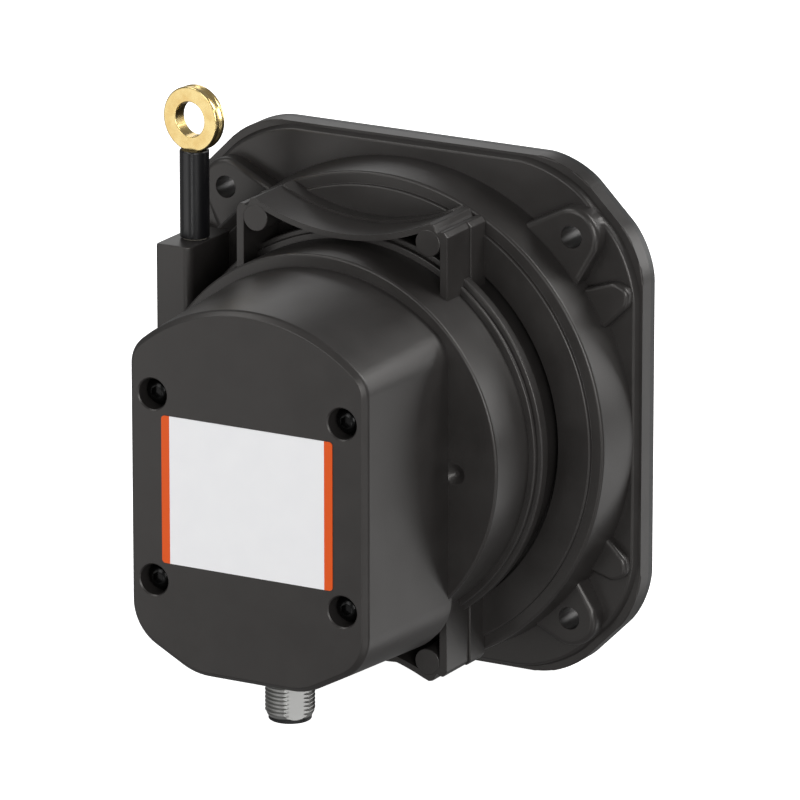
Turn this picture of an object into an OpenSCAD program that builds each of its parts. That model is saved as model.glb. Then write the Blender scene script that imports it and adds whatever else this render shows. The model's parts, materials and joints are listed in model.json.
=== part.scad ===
// Draw wire encoder with a square mounting flange, a spring housing, a wire drum and a
// D-shaped encoder cover. Millimetres, +Z up. The mounting face is the plane Y = 0 and the
// product stands out of it towards -Y, so "depth" below means the distance in front of it.

/* [Flange] */
// width of the mounting flange along X
flange_w = 127; // [120:0.5:140]
// height of the mounting flange along Z
flange_h = 129; // [122:0.5:142]
// leg of the 45 degree corner cut
corner_cut = 20.9; // [14:0.1:26]
// radius that softens the flange's eight corners
corner_round = 11; // [4:0.5:14]
// thickness of the steel back plate
plate_t = 2; // [1.5:0.1:3]
// depth of the moulded flange's outer edge
edge_depth = 6.2; // [5:0.1:7.5]
// depth of the flange's raised floor
floor_depth = 8; // [7:0.1:9.5]
// inset of the raised floor from the flange's edge
floor_inset = 1.3; // [0.5:0.1:3]
// radius, about the drum axis, that trims the raised floor at the corners
floor_r = 74.5; // [70:0.5:78]

/* [Mounting ears] */
// side of the square of mounting holes
hole_pitch = 95; // [90:0.5:98]
// diameter of the mounting holes
hole_d = 5.5; // [4.5:0.1:6.5]
// depth of the ears' front faces
ear_depth = 12.5; // [10:0.1:15]
// depth of the four screw lobes beside the ears
lobe_depth = 10.6; // [9.6:0.1:12]
// distance of the lobe screws from the flange's side edges
lobe_inset = 8; // [7:0.1:10]
// distance of the lobe screws from the middle, along Z
lobe_z = 31; // [28:0.5:33]

/* [Spring housing] */
// height of the drum axis above the flange's middle
drum_z = -2; // [-4:0.5:2]
// outer radius of the housing wall at the floor
wall_r = 62.1; // [60.5:0.1:63]
// outer radius of the housing wall at its front rim
rim_r = 61.2; // [59.5:0.1:61.5]
// inner radius of the raised rim
rim_inner_r = 58.3; // [57:0.1:58.8]
// depth of the raised rim
rim_depth = 22.5; // [21.8:0.1:25]
// depth of the flat front face inside the rim
face_depth = 21.4; // [20.5:0.1:21.7]
// radius of the recess that takes the foot of the drum cover
recess_r = 50.4; // [50:0.1:52]
// radius of the spring chamber
chamber_r = 58.6; // [57.8:0.1:59]
// depth of the spring chamber's front wall
chamber_depth = 16.4; // [15.5:0.1:17]

/* [Mainspring] */
// outer radius of the steel cup round the spring
cup_r = 52; // [50:0.5:54]
// wall of the cup
cup_wall = 1; // [0.6:0.1:1.5]
// thickness of the spring strip
strip_t = 0.8; // [0.4:0.1:1.2]
// width of the spring strip
strip_w = 10.4; // [8:0.1:11]
// number of turns of the spring
spring_turns = 7.25; // [4.25:1:9.25]

/* [Wire drum] */
// radius of the wire's centre line on the drum
wind_r = 45; // [44:0.1:45.1]
// diameter of the measuring wire
wire_d = 0.9; // [0.6:0.05:1]
// radius of the drum's two flanges
drum_flange_r = 45.9; // [45.7:0.05:46]
// thickness of the drum's two flanges
drum_flange_t = 1.2; // [0.8:0.1:1.6]
// width of the winding between the flanges
wind_w = 21.4; // [18:0.1:21.6]
// radius of the shaft
shaft_r = 4; // [3.5:0.1:4.2]

/* [Drum cover] */
// outer radius of the drum cover
bowl_r = 48.1; // [47.6:0.1:49]
// inner radius of the drum cover
bowl_inner_r = 46.3; // [46.2:0.05:46.6]
// depth of the drum cover's front face
bowl_depth = 48.7; // [47.5:0.1:50]
// thickness of the drum cover's front wall
bowl_front_t = 2.5; // [2:0.1:2.8]

/* [Frames] */
// distance of the round screw bosses from the middle, along X
boss_x = 23.7; // [22:0.1:24.5]
// distance of the round screw bosses from the drum axis, along Z
boss_z = 51.5; // [50.5:0.1:52.5]
// radius of the round screw bosses
boss_r = 3.2; // [2.8:0.1:3.6]
// depth of the bosses' and frames' front ends
frame_depth = 39.4; // [36:0.1:42]
// outer face of the frames' side plates, along X
frame_x = 28.8; // [28:0.1:30]
// thickness of the frames' side plates
frame_t = 2.1; // [1.6:0.1:2.5]
// thickness of the arched web between the bosses
web_t = 1.4; // [1:0.1:2]

/* [Wire outlet] */
// width of the outlet block along X
outlet_w = 8.2; // [7.6:0.1:9]
// depth of the outlet block's front face
outlet_depth = 40.7; // [38:0.1:43]
// height of the outlet block's top face
outlet_top = 39.65; // [36:0.05:44]
// depth of the wire's path
wire_depth = 31.5; // [28:0.1:34]
// radius of the ceramic wire guide
guide_r = 3; // [2.4:0.1:3.2]
// radius of the wire guide's bore
guide_bore_r = 0.7; // [0.6:0.05:0.9]

/* [Wire end] */
// radius of the black sleeve
sleeve_r = 3.6; // [3:0.1:4]
// length of the black sleeve
sleeve_len = 21.35; // [18:0.05:26]
// outer radius of the brass eyelet
eye_r = 8.2; // [7:0.1:9]
// radius of the eyelet's hole
eye_hole_r = 4.3; // [3.5:0.1:5]
// thickness of the eyelet
eye_t = 3; // [2:0.1:4]
// angle by which the eyelet is turned about the wire
eye_turn = -7; // [-30:1:30]

/* [Encoder cover] */
// half of the cover's width at its front edge
cover_half_w = 32.2; // [31:0.1:34]
// height of the cover's top edge
cover_top = 40; // [37:0.1:42]
// height of the cover's bottom edge
cover_bottom = -51.3; // [-53:0.1:-49]
// depth of the cover's front face
cover_depth = 84.3; // [76:0.1:90]
// radius of the cover's arched top
cover_arc_r = 45.5; // [44:0.1:50]
// radius of the cover's corners
cover_round = 8; // [5:0.5:10]
// half of the width of the flat at the cover's bottom
bottom_half_w = 13.9; // [10:0.1:16]
// height of the slanted corners at the bottom
bottom_slant = 10.9; // [8:0.1:13]
// chamfer round the cover's front face
cover_chamfer = 1.25; // [0.6:0.05:2]
// growth of the cover's outline on each side from front to back
cover_draft = 2.1; // [0:0.1:2.5]
// wall of the cover
cover_wall = 2.6; // [2:0.1:3]

/* [Cover screws and label] */
// height of the label's and the cover screws' middle
label_z = -6.3; // [-8:0.1:-4]
// distance between the cover screws along X
screw_pitch_x = 51.3; // [49:0.1:52]
// distance between the cover screws along Z
screw_pitch_z = 45.8; // [44:0.1:47]
// radius of the deep counterbores
counterbore_r = 3.8; // [3.4:0.1:4]
// width of the label
label_w = 46.3; // [44:0.1:47]
// height of the label
label_h = 36.3; // [34:0.1:37]
// thickness of the label
label_t = 0.2; // [0.1:0.05:0.4]

/* [Circuit board] */
// half of the board's width
board_half_w = 19.5; // [17:0.1:20]
// height of the board's top edge
board_top = 30; // [26:0.5:31]
// height of the board's bottom edge
board_bottom = -39; // [-40:0.5:-37]
// depth of the board's back face
board_depth = 60; // [58.5:0.1:61]
// thickness of the board
board_t = 1.6; // [1:0.1:2]

/* [Connector] */
// depth of the connector's axis
plug_depth = 64.4; // [64.2:0.1:67]
// radius of the connector's M12 thread
plug_r = 6; // [5:0.5:7]
// height of the connector's open end
plug_end = -65.2; // [-70:0.1:-62]

/* [Hidden] */

// radial room of a fixed fit, and of a piece that turns or slides
fit_gap = 0.02;
run_gap = 0.3;
// how far a cutting shape reaches past the face that it cuts
past = 0.5;
round_fn = 96;
soft_fn = 48;

hole_r = hole_d / 2;
wire_r = wire_d / 2;
lobe_x = flange_w / 2 - lobe_inset;
// countersunk heads of the back plate's screws
head_sink = 1.4;
sink_slope = 1.15;

// ball bearings, 8 x 16 x 5
race_r = 8;
race_w = 5;
race_t = 1.3;
ball_r = 1.55;
ball_count = 8;
rear_race = plate_t + run_gap;
front_race = bowl_depth - 1.5;
hub_boss_r = 11.2;

// drum and winding
drum_back = face_depth;
drum_front = drum_back + wind_w + 2 * drum_flange_t;
barrel_r = wind_r - wire_r;
hub_r = 9;
hub_overhang = 0.9;
drum_web_t = 3;
barrel_t = 3;
recess_depth = face_depth - 2;

// shaft
shaft_back = plate_t + 0.5;
circlip_t = 0.8;
shaft_front = front_race + race_w + 0.1 + circlip_t + 0.4;
holder_r = 5;
holder_len = 4;
magnet_r = 4;
magnet_len = 1.8;

// drum cover
bowl_foot_r = bowl_inner_r + 1.2;
bowl_inside = bowl_depth - bowl_front_t;
rib_back = recess_depth + 4.9;
rib_w = 2.8;
rib_gap = 0.7;
cover_screw_z = screw_pitch_z / 2;
cover_screw_x = screw_pitch_x / 2;
tap_r = 1.5;
seat_boss_r = 4.5;
seat_boss_depth = bowl_depth + 7.6;
standoff_r = 3;
standoff_x = board_half_w - 4.5;
standoff_top = board_top - 6;
standoff_bottom = board_bottom + 5;
board_tap_r = 1.2;
dimple_x = 36.1;
dimple_z = drum_z - 1.5;
dimple_r = 2.5;
dimple_deep = 1.3;

// frames: the web is an arc that dips to the middle
frame_top = boss_z + 4.8;
frame_shoulder = boss_z + 1.3;
frame_tip_x = boss_x + 0.2;
frame_foot = boss_z - 21.5;
web_mid = boss_z - 0.7;
web_rise = frame_top - web_mid;
web_arc_r = (frame_tip_x * frame_tip_x + web_rise * web_rise) / (2 * web_rise);
web_arc_z = web_mid + web_arc_r;
web_step_depth = face_depth + 4.4;
web_step = 0.6;

// wire path
wire_x = -wind_r;
outlet_foot = drum_z - 9;
guide_len = 7.65;
wiper_len = 2.9;
wire_start = drum_z + 9.5;
sleeve_foot = outlet_top + run_gap;
sleeve_top = sleeve_foot + sleeve_len;
sleeve_wall = 1.6;
sleeve_floor = 2;
crimp_r = sleeve_r - sleeve_wall - 0.1;
crimp_len = 6.4;
crimp_top = sleeve_top - 6;
eye_z = sleeve_top + eye_r;

// encoder cover
cover_edge = cover_depth - cover_chamfer;
// direction that the slanted corners face, and how far out they lie in it
slant_a = atan2(bottom_slant, cover_half_w - bottom_half_w) - 90;
slant_reach = cos(slant_a) * bottom_half_w + sin(slant_a) * cover_bottom;
head_seat = bowl_depth + 17.3;
head_t = 3;
head_r = 3.1;
screw_r = 1.5;
post_r = 5;
gasket_w = 1.2;
gasket_t = 1;
gasket_inset = 0.8;

// connector
cover_slope = cover_draft / (cover_edge - bowl_depth);
plug_wall_z = cover_bottom - cover_slope * (cover_edge - plug_depth);
plug_seat = plug_wall_z + cover_wall + 0.1;
plug_seal_t = 0.5;
plug_flange_t = 2.5;
plug_flange_r = plug_r + 2;
plug_bore_r = plug_r - 1.5;
plug_tip = 1.7;
plug_groove = 1.4;
contact_r = 0.5;
contact_ring_r = 2.5;

// parts on the board
chip_w = 5;
board_screw_len = 6;
processor_w = 10;
can_r = 3;
can_len = 6;
header_w = 14;
header_t = 5;

// ---- places ----

// a flat X-Z shape given thickness between two depths
module slab(near, far) {
    translate([0, -near, 0])
        rotate([90, 0, 0])
            linear_extrude(far - near)
                children();
}

// a profile of [radius, depth] points turned about the drum axis
module turned() {
    translate([0, 0, drum_z])
        rotate([90, 0, 0])
            rotate_extrude($fn = round_fn)
                children();
}

// a round pin or bore that runs in depth, at x and z
module rod(x, z, near, far, r) {
    translate([x, -near, z])
        rotate([90, 0, 0])
            cylinder(h = far - near, r = r, $fn = 48);
}

// an upright round pin or bore on the wire's path
module upright(low, high, r) {
    translate([wire_x, -wire_depth, low])
        cylinder(h = high - low, r = r, $fn = 48);
}

module at_four(x, z) {
    for (sx = [-1, 1])
        for (sz = [-1, 1])
            translate([sx * x, 0, sz * z])
                children();
}

module mirror_four() {
    for (mx = [0, 1])
        for (mz = [0, 1])
            mirror([mx, 0, 0])
                mirror([0, mz, 0])
                    children();
}

// a polygon whose outer corners are softened
module softened(r) {
    offset(r = r, $fn = soft_fn)
        offset(delta = -r)
            children();
}

// ---- flange and spring housing ----

module flange_outline() {
    w = flange_w / 2;
    h = flange_h / 2;
    softened(corner_round)
        polygon([[w, h - corner_cut], [w - corner_cut, h], [corner_cut - w, h],
            [-w, h - corner_cut], [-w, corner_cut - h], [corner_cut - w, -h],
            [w - corner_cut, -h], [w, corner_cut - h]]);
}

// the slope from the flange's edge up to its floor, which a cone trims at the corners
module flange_bevel() {
    rise = floor_depth - edge_depth;
    intersection() {
        translate([0, -edge_depth, 0])
            rotate([90, 0, 0])
                linear_extrude(rise, scale = [1 - 2 * floor_inset / flange_w, 1 - 2 * floor_inset / flange_h])
                    flange_outline();
        translate([0, past - edge_depth, drum_z])
            rotate([90, 0, 0])
                cylinder(h = rise + past, r1 = floor_r + 2 * (rise + past), r2 = floor_r, $fn = 180);
    }
}

module ear_outline() {
    h = hole_pitch / 2;
    softened(6.5)
        polygon([[h - 13, h + 1.5], [h + 1.3, h + 8.6], [h + 8.6, h + 1.3],
            [h + 2.1, h - 10.7], [h - 1, h - 15.5], [h - 10, h - 16]]);
}

module lobe_outline() {
    softened(3.6)
        polygon([[lobe_x - 9.5, lobe_z + 2.5], [lobe_x + 2.5, lobe_z + 6.3],
            [lobe_x + 6.4, lobe_z + 4.6], [lobe_x + 6, lobe_z + 0.5],
            [lobe_x - 1.5, lobe_z - 7], [lobe_x - 9.5, lobe_z - 8]]);
}

// the holes that pass through the flange and the back plate
module mounting_holes(near, far) {
    for (sx = [-1, 1])
        for (sz = [-1, 1])
            rod(sx * hole_pitch / 2, sz * hole_pitch / 2, near, far, hole_r);
}

module drum_cover_screw_places() {
    for (sx = [-1, 1])
        for (sz = [-1, 1])
            translate([sx * boss_x, 0, drum_z + sz * boss_z])
                children();
}

module base_housing() {
    color("#4b4a49")
        difference() {
            union() {
                slab(plate_t, edge_depth)
                    flange_outline();
                flange_bevel();
                turned()
                    polygon([[0, plate_t], [wall_r, plate_t], [wall_r, floor_depth],
                        [rim_r, rim_depth - 0.6], [rim_r - 0.6, rim_depth],
                        [rim_inner_r, rim_depth], [rim_inner_r - 0.3, face_depth],
                        [0, face_depth]]);
                slab(floor_depth - 1, ear_depth)
                    mirror_four()
                        ear_outline();
                slab(floor_depth - 1, lobe_depth)
                    mirror_four()
                        lobe_outline();
            }
            turned()
                polygon([[0, plate_t - past], [chamber_r, plate_t - past],
                    [chamber_r, chamber_depth], [0, chamber_depth]]);
            turned()
                polygon([[0, recess_depth], [recess_r, recess_depth],
                    [recess_r, face_depth + past], [0, face_depth + past]]);
            rod(0, drum_z, chamber_depth - past, recess_depth + past, shaft_r + 2);
            turned()
                polygon([[chamber_r + 1, plate_t - past], [chamber_r + 2.2, plate_t - past],
                    [chamber_r + 2.2, plate_t + 0.8], [chamber_r + 1, plate_t + 0.8]]);
            mounting_holes(plate_t - past, ear_depth + past);
            drum_cover_screw_places() {
                rod(0, 0, chamber_depth - 3, chamber_depth, head_r);
                rod(0, 0, chamber_depth - past, face_depth + past, screw_r + 0.15);
            }
            at_four(lobe_x, lobe_z)
                rod(0, 0, plate_t - past, lobe_depth - 1.6, tap_r + fit_gap);
        }
}

module back_plate() {
    color("#8d9092")
        difference() {
            union() {
                slab(0, plate_t)
                    flange_outline();
                rod(0, drum_z, plate_t - 0.5, rear_race + race_w, hub_boss_r);
            }
            rod(0, drum_z, plate_t, rear_race + race_w + past, race_r + fit_gap);
            mounting_holes(-past, plate_t + past);
            at_four(lobe_x, lobe_z) {
                rod(0, 0, -past, plate_t + past, tap_r + 0.2);
                translate([0, past, 0])
                    rotate([90, 0, 0])
                        cylinder(h = past + head_sink, r1 = tap_r + fit_gap + (past + head_sink) * sink_slope,
                            r2 = tap_r + fit_gap, $fn = 48);
            }
        }
}

module plate_screws() {
    color("#a8abad")
        at_four(lobe_x, lobe_z) {
            rotate([90, 0, 0])
                cylinder(h = head_sink, r1 = tap_r + head_sink * sink_slope, r2 = tap_r, $fn = 48);
            rod(0, 0, head_sink - 0.2, lobe_depth - 2.1, tap_r);
        }
}

module base_seal() {
    color("#1b1b1c")
        turned()
            polygon([[chamber_r + 1.1, plate_t], [chamber_r + 2.1, plate_t],
                [chamber_r + 2.1, plate_t + 0.75], [chamber_r + 1.1, plate_t + 0.75]]);
}

// ---- spring ----

module spring_cup() {
    color("#9b9ea0")
        turned()
            polygon([[cup_r - cup_wall, plate_t + run_gap], [cup_r, plate_t + run_gap],
                [cup_r, chamber_depth], [hub_boss_r + 4, chamber_depth],
                [hub_boss_r + 4, chamber_depth - cup_wall],
                [cup_r - cup_wall, chamber_depth - cup_wall]]);
}

// one edge of the spiral strip, from the arbor out to the cup
function spiral(steps, from_r, to_r, turns) = [for (i = [0:steps])
    let (r = from_r + (to_r - from_r) * i / steps, a = 360 * turns * i / steps)
    [r * cos(a), r * sin(a)]];

function backwards(points) = [for (i = [len(points) - 1:-1:0]) points[i]];

module mainspring() {
    steps = round(spring_turns * 30);
    inner = hub_boss_r + 2;
    outer = cup_r - cup_wall - 0.05;
    inside = spiral(steps, inner, outer - strip_t, spring_turns);
    outside = spiral(steps, inner + strip_t, outer, spring_turns);
    middle = (plate_t + chamber_depth) / 2 - 0.2;
    color("#6d7680")
        translate([0, 0, drum_z])
            slab(middle - strip_w / 2, middle + strip_w / 2)
                polygon(concat(inside, backwards(outside)));
}

module spring_arbor() {
    color("#85888b")
        turned()
            polygon([[shaft_r + fit_gap, rear_race + race_w + 0.5],
                [hub_boss_r + 1.6, rear_race + race_w + 0.5],
                [hub_boss_r + 1.6, chamber_depth - 0.6],
                [shaft_r + fit_gap, chamber_depth - 0.6]]);
}

// ---- bearings ----

module race(near, low_r, high_r, groove_r) {
    turned()
        difference() {
            translate([low_r, near])
                square([high_r - low_r, race_w]);
            translate([groove_r, near + race_w / 2])
                circle(r = ball_r + 0.05, $fn = 48);
        }
}

module race_balls(near) {
    for (i = [0:ball_count - 1])
        translate([0, -near - race_w / 2, drum_z])
            rotate([0, i * 360 / ball_count, 0])
                translate([(race_r + shaft_r) / 2, 0, 0])
                    sphere(r = ball_r, $fn = 24);
}

module bearing_outer(near) {
    color("#b9bcbf")
        race(near, race_r - race_t, race_r, (race_r + shaft_r) / 2);
}

module bearing_inner(near) {
    color("#b9bcbf")
        race(near, shaft_r + fit_gap, shaft_r + race_t, (race_r + shaft_r) / 2);
}

module bearing_balls(near) {
    color("#d6d9db")
        race_balls(near);
}

// ---- drum ----

module drum_shaft() {
    clip = front_race + race_w + 0.1;
    color("#a3a6a8")
        turned()
            polygon([[0, shaft_back], [shaft_r - 0.4, shaft_back], [shaft_r, shaft_back + 0.4],
                [shaft_r, clip], [shaft_r - 0.5, clip], [shaft_r - 0.5, clip + circlip_t],
                [shaft_r, clip + circlip_t], [shaft_r, shaft_front], [2.5, shaft_front],
                [2.5, shaft_front + 2], [0, shaft_front + 2]]);
}

module shaft_circlip() {
    clip = front_race + race_w + 0.1;
    color("#5a5d60")
        difference() {
            turned()
                polygon([[shaft_r - 0.5 + fit_gap, clip + 0.03], [shaft_r + 1.2, clip + 0.03],
                    [shaft_r + 1.2, clip + circlip_t - 0.03],
                    [shaft_r - 0.5 + fit_gap, clip + circlip_t - 0.03]]);
            translate([-1.2, -clip - circlip_t - past, drum_z])
                cube([2.4, circlip_t + 2 * past, shaft_r + 3]);
        }
}

module wire_drum() {
    web = (drum_back + drum_front) / 2 - drum_web_t / 2;
    rim = barrel_r - barrel_t;
    color("#c9c9c4")
        difference() {
            turned()
                polygon([[shaft_r + fit_gap, drum_back - hub_overhang],
                    [hub_r, drum_back - hub_overhang], [hub_r, web], [rim, web],
                    [rim, drum_back], [drum_flange_r, drum_back],
                    [drum_flange_r, drum_back + drum_flange_t],
                    [barrel_r, drum_back + drum_flange_t],
                    [barrel_r, drum_front - drum_flange_t],
                    [drum_flange_r, drum_front - drum_flange_t], [drum_flange_r, drum_front],
                    [rim, drum_front], [rim, web + drum_web_t], [hub_r, web + drum_web_t],
                    [hub_r, drum_front + hub_overhang - 0.3],
                    [shaft_r + fit_gap, drum_front + hub_overhang - 0.3]]);
            for (i = [0:5])
                translate([0, 0, drum_z])
                    rotate([0, i * 60, 0])
                        rod(25, 0, web - past, web + drum_web_t + past, 8);
            translate([0, -drum_back - 4, drum_z])
                cylinder(h = hub_r + 2, r = tap_r + fit_gap, $fn = 32);
        }
}

module drum_set_screw() {
    color("#55585b")
        translate([0, -drum_back - 4, drum_z + shaft_r + 0.05])
            difference() {
                cylinder(h = 3.6, r = tap_r, $fn = 32);
                translate([0, 0, 2.2])
                    cylinder(h = 2, r = 0.8, $fn = 6);
            }
}

module wire_winding() {
    color("#7d8185")
        turned()
            translate([barrel_r + fit_gap, drum_back + drum_flange_t + 0.1])
                square([wire_d - fit_gap, wind_w - 0.2]);
}

module magnet_holder() {
    color("#2b2b2c")
        turned()
            polygon([[2.5 + fit_gap, shaft_front + 0.1], [holder_r, shaft_front + 0.1],
                [holder_r, shaft_front + holder_len], [magnet_r + fit_gap, shaft_front + holder_len],
                [magnet_r + fit_gap, shaft_front + holder_len - magnet_len - 0.1],
                [2.5 + fit_gap, shaft_front + holder_len - magnet_len - 0.1]]);
}

module magnet() {
    color("#8a8e92")
        rod(0, drum_z, shaft_front + holder_len - magnet_len, shaft_front + holder_len, magnet_r);
}

// ---- drum cover with its frames and wire outlet ----

// the arched web and side plates that stand on the housing's face
module frame_profile() {
    inner_x = frame_x - frame_t;
    difference() {
        polygon([[frame_x, frame_foot], [frame_x, frame_shoulder], [frame_tip_x, frame_top],
            [-frame_tip_x, frame_top], [-frame_x, frame_shoulder], [-frame_x, frame_foot]]);
        translate([0, web_arc_z])
            circle(r = web_arc_r, $fn = 180);
        difference() {
            polygon([[inner_x, frame_foot - 10], [inner_x, frame_shoulder - 1],
                [frame_tip_x - 1, frame_top - web_t], [1 - frame_tip_x, frame_top - web_t],
                [-inner_x, frame_shoulder - 1], [-inner_x, frame_foot - 10]]);
            translate([0, web_arc_z])
                circle(r = web_arc_r + web_t, $fn = 180);
        }
    }
    for (sx = [-1, 1])
        translate([sx * boss_x, boss_z])
            circle(r = boss_r, $fn = 48);
}

// the slightly raised strip where the web meets the housing's face
module web_foot_profile() {
    intersection() {
        translate([0, web_arc_z])
            difference() {
                circle(r = web_arc_r + 0.4, $fn = 180);
                circle(r = web_arc_r - web_step, $fn = 180);
            }
        translate([1 - frame_tip_x, web_mid - 2])
            square([2 * frame_tip_x - 2, web_rise + 2]);
    }
}

module frame() {
    difference() {
        union() {
            slab(face_depth, frame_depth)
                frame_profile();
            slab(face_depth, web_step_depth)
                web_foot_profile();
        }
        rod(0, 0, face_depth - past, frame_depth + past, bowl_inner_r + 0.8);
    }
}

// points on an arc, without its first one
function arc(x, z, r, from, to, steps) = [for (i = [1:steps])
    let (a = from + (to - from) * i / steps) [x + r * cos(a), z + r * sin(a)]];

// the right half of the cover's outline, from its top down, moved outwards by grow
function cover_half(grow) =
    let (w = cover_half_w + grow, round = cover_round + grow, big = cover_arc_r + grow,
        low = cover_bottom - grow, arc_z = cover_top - cover_arc_r,
        reach = slant_reach + grow - round,
        shoulder_z = arc_z + sqrt(pow(big - round, 2) - pow(w - round, 2)),
        shoulder_a = atan2(shoulder_z - arc_z, w - round),
        side_z = (reach - cos(slant_a) * (w - round)) / sin(slant_a),
        foot_x = (reach - sin(slant_a) * (low + round)) / cos(slant_a))
    concat([[0, cover_top + grow]],
        arc(0, arc_z, big, 90, shoulder_a, 10),
        arc(w - round, shoulder_z, round, shoulder_a, 0, 8),
        [[w, side_z]], arc(w - round, side_z, round, 0, slant_a, 7),
        [[foot_x + round * cos(slant_a), low + round + round * sin(slant_a)]],
        arc(foot_x, low + round, round, slant_a, -90, 4));

function cover_points(grow) =
    let (half = cover_half(grow))
    concat(half, [for (i = [len(half) - 1:-1:1]) [-half[i].x, half[i].y]]);

// a closed skin over rings of the cover's outline; each level is [depth, growth], front first
module cover_skin(levels) {
    rings = [for (level = levels) [for (p = cover_points(level[1])) [p.x, -level[0], p.y]]];
    count = len(rings[0]);
    last = (len(rings) - 1) * count;
    polyhedron(points = [for (ring = rings) each ring], faces = concat(
        [[for (i = [0:count - 1]) i]],
        [[for (i = [count - 1:-1:0]) last + i]],
        [for (k = [0:len(rings) - 2]) for (i = [0:count - 1])
            let (j = (i + 1) % count)
            [k * count + i, (k + 1) * count + i, (k + 1) * count + j, k * count + j]]));
}

module bowl_profile() {
    rib_two = rib_back + rib_w + rib_gap;
    polygon([[bowl_inner_r, recess_depth], [recess_r - 0.2, recess_depth],
        [recess_r - 0.2, recess_depth + 1.5], [bowl_foot_r, recess_depth + 1.8],
        [bowl_foot_r, rib_back - 0.3], [bowl_r + 1.1, rib_back], [bowl_r + 1.1, rib_back + rib_w],
        [bowl_r + 0.1, rib_back + rib_w + 0.2], [bowl_r + 0.1, rib_two - 0.2],
        [bowl_r + 0.9, rib_two], [bowl_r + 0.9, rib_two + rib_w - 0.6],
        [bowl_foot_r, rib_two + rib_w - 0.2], [bowl_foot_r, rib_two + rib_w + 0.3],
        [bowl_r, rib_two + rib_w + 0.7], [bowl_r, bowl_depth - 0.7], [bowl_r - 0.7, bowl_depth],
        [0, bowl_depth], [0, bowl_inside], [bowl_inner_r, bowl_inside]]);
}

module cover_screw_places() {
    translate([0, 0, label_z])
        at_four(cover_screw_x, cover_screw_z)
            children();
}

module standoff_places() {
    for (sx = [-1, 1])
        for (z = [standoff_top, standoff_bottom])
            translate([sx * standoff_x, 0, z])
                children();
}

module drum_cover() {
    front_bore = front_race + race_w + 0.2;
    color("#4b4a49")
        difference() {
            union() {
                turned()
                    bowl_profile();
                slab(bowl_inside, bowl_depth)
                    polygon(cover_points(cover_draft - 0.3));
                rod(0, drum_z, bowl_depth - 1, front_bore + 0.9, hub_boss_r);
                cover_screw_places()
                    rod(0, 0, bowl_depth - 1, seat_boss_depth, seat_boss_r);
                standoff_places()
                    rod(0, 0, bowl_depth - 1, board_depth, standoff_r);
                translate([0, 0, drum_z])
                    frame();
                translate([0, 0, drum_z])
                    mirror([0, 0, 1])
                        frame();
                difference() {
                    translate([wire_x - outlet_w / 2, -outlet_depth, outlet_foot])
                        cube([outlet_w, outlet_depth - face_depth, outlet_top - outlet_foot]);
                    rod(0, drum_z, recess_depth, outlet_depth + past, bowl_inner_r + 0.4);
                }
            }
            turned()
                polygon([[rim_inner_r - 0.4, face_depth - past], [wall_r, face_depth - past],
                    [wall_r, rim_depth], [rim_inner_r - 0.1, rim_depth]]);
            rod(0, drum_z, bowl_inside - past, front_bore, race_r + fit_gap);
            rod(0, drum_z, bowl_inside, front_bore + 2, shaft_r + 2.4);
            cover_screw_places()
                rod(0, 0, bowl_depth - 0.4, seat_boss_depth + past, tap_r + fit_gap);
            standoff_places()
                rod(0, 0, bowl_depth + 2, board_depth + past, board_tap_r + fit_gap);
            drum_cover_screw_places()
                rod(0, 0, face_depth - past, frame_depth - 6, tap_r + fit_gap);
            upright(drum_z, outlet_top - guide_len, guide_bore_r + 0.5);
            upright(outlet_top - guide_len - wiper_len, outlet_top + past, guide_r + fit_gap);
            translate([dimple_x, dimple_deep - bowl_depth, dimple_z])
                rotate([90, 0, 0])
                    cylinder(h = dimple_deep + 0.01, r1 = dimple_r / 4, r2 = dimple_r, $fn = 48);
        }
}

module drum_cover_screws() {
    color("#a8abad")
        drum_cover_screw_places() {
            rod(0, 0, chamber_depth - 2.4, chamber_depth, head_r - 0.35);
            rod(0, 0, chamber_depth - 0.5, frame_depth - 8, tap_r);
        }
}

// ---- wire and its end ----

module wire_wiper() {
    color("#1e1e1f")
        difference() {
            upright(outlet_top - guide_len - wiper_len + 0.05, outlet_top - guide_len - 0.05, guide_r);
            upright(outlet_top - guide_len - wiper_len - past, outlet_top, wire_r + 0.1);
        }
}

module wire_guide() {
    color("#d9d6cd")
        difference() {
            upright(outlet_top - guide_len, outlet_top, guide_r);
            upright(outlet_top - guide_len - past, outlet_top + past, guide_bore_r);
        }
}

module measuring_wire() {
    color("#8a8e92")
        upright(wire_start, crimp_top - 0.4, wire_r);
}

module wire_crimp() {
    color("#b0b3b5")
        difference() {
            upright(crimp_top - crimp_len, crimp_top, crimp_r);
            upright(crimp_top - crimp_len - past, crimp_top - 0.35, wire_r + fit_gap);
        }
}

module wire_sleeve() {
    color("#19191a")
        difference() {
            upright(sleeve_foot, sleeve_top, sleeve_r);
            upright(sleeve_foot - past, sleeve_top, guide_bore_r + 0.1);
            upright(sleeve_foot + sleeve_floor, sleeve_top + past, sleeve_r - sleeve_wall);
        }
}

module eyelet() {
    color("#d9b765")
        translate([wire_x, -wire_depth, 0])
            rotate([0, 0, eye_turn]) {
                translate([0, 0, eye_z])
                    rotate([90, 0, 0])
                        rotate_extrude($fn = 72)
                            polygon([[eye_hole_r, -eye_t / 2], [eye_r - 0.5, -eye_t / 2],
                                [eye_r, 0.5 - eye_t / 2], [eye_r, -0.45], [eye_r - 0.5, 0],
                                [eye_r, 0.45], [eye_r, eye_t / 2 - 0.5],
                                [eye_r - 0.5, eye_t / 2], [eye_hole_r, eye_t / 2]]);
                translate([0, 0, crimp_top + 0.1])
                    cylinder(h = eye_z - eye_r - crimp_top + 1.6, r = eye_t / 2 - 0.1, $fn = 48);
            }
}

// ---- electronics ----

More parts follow.
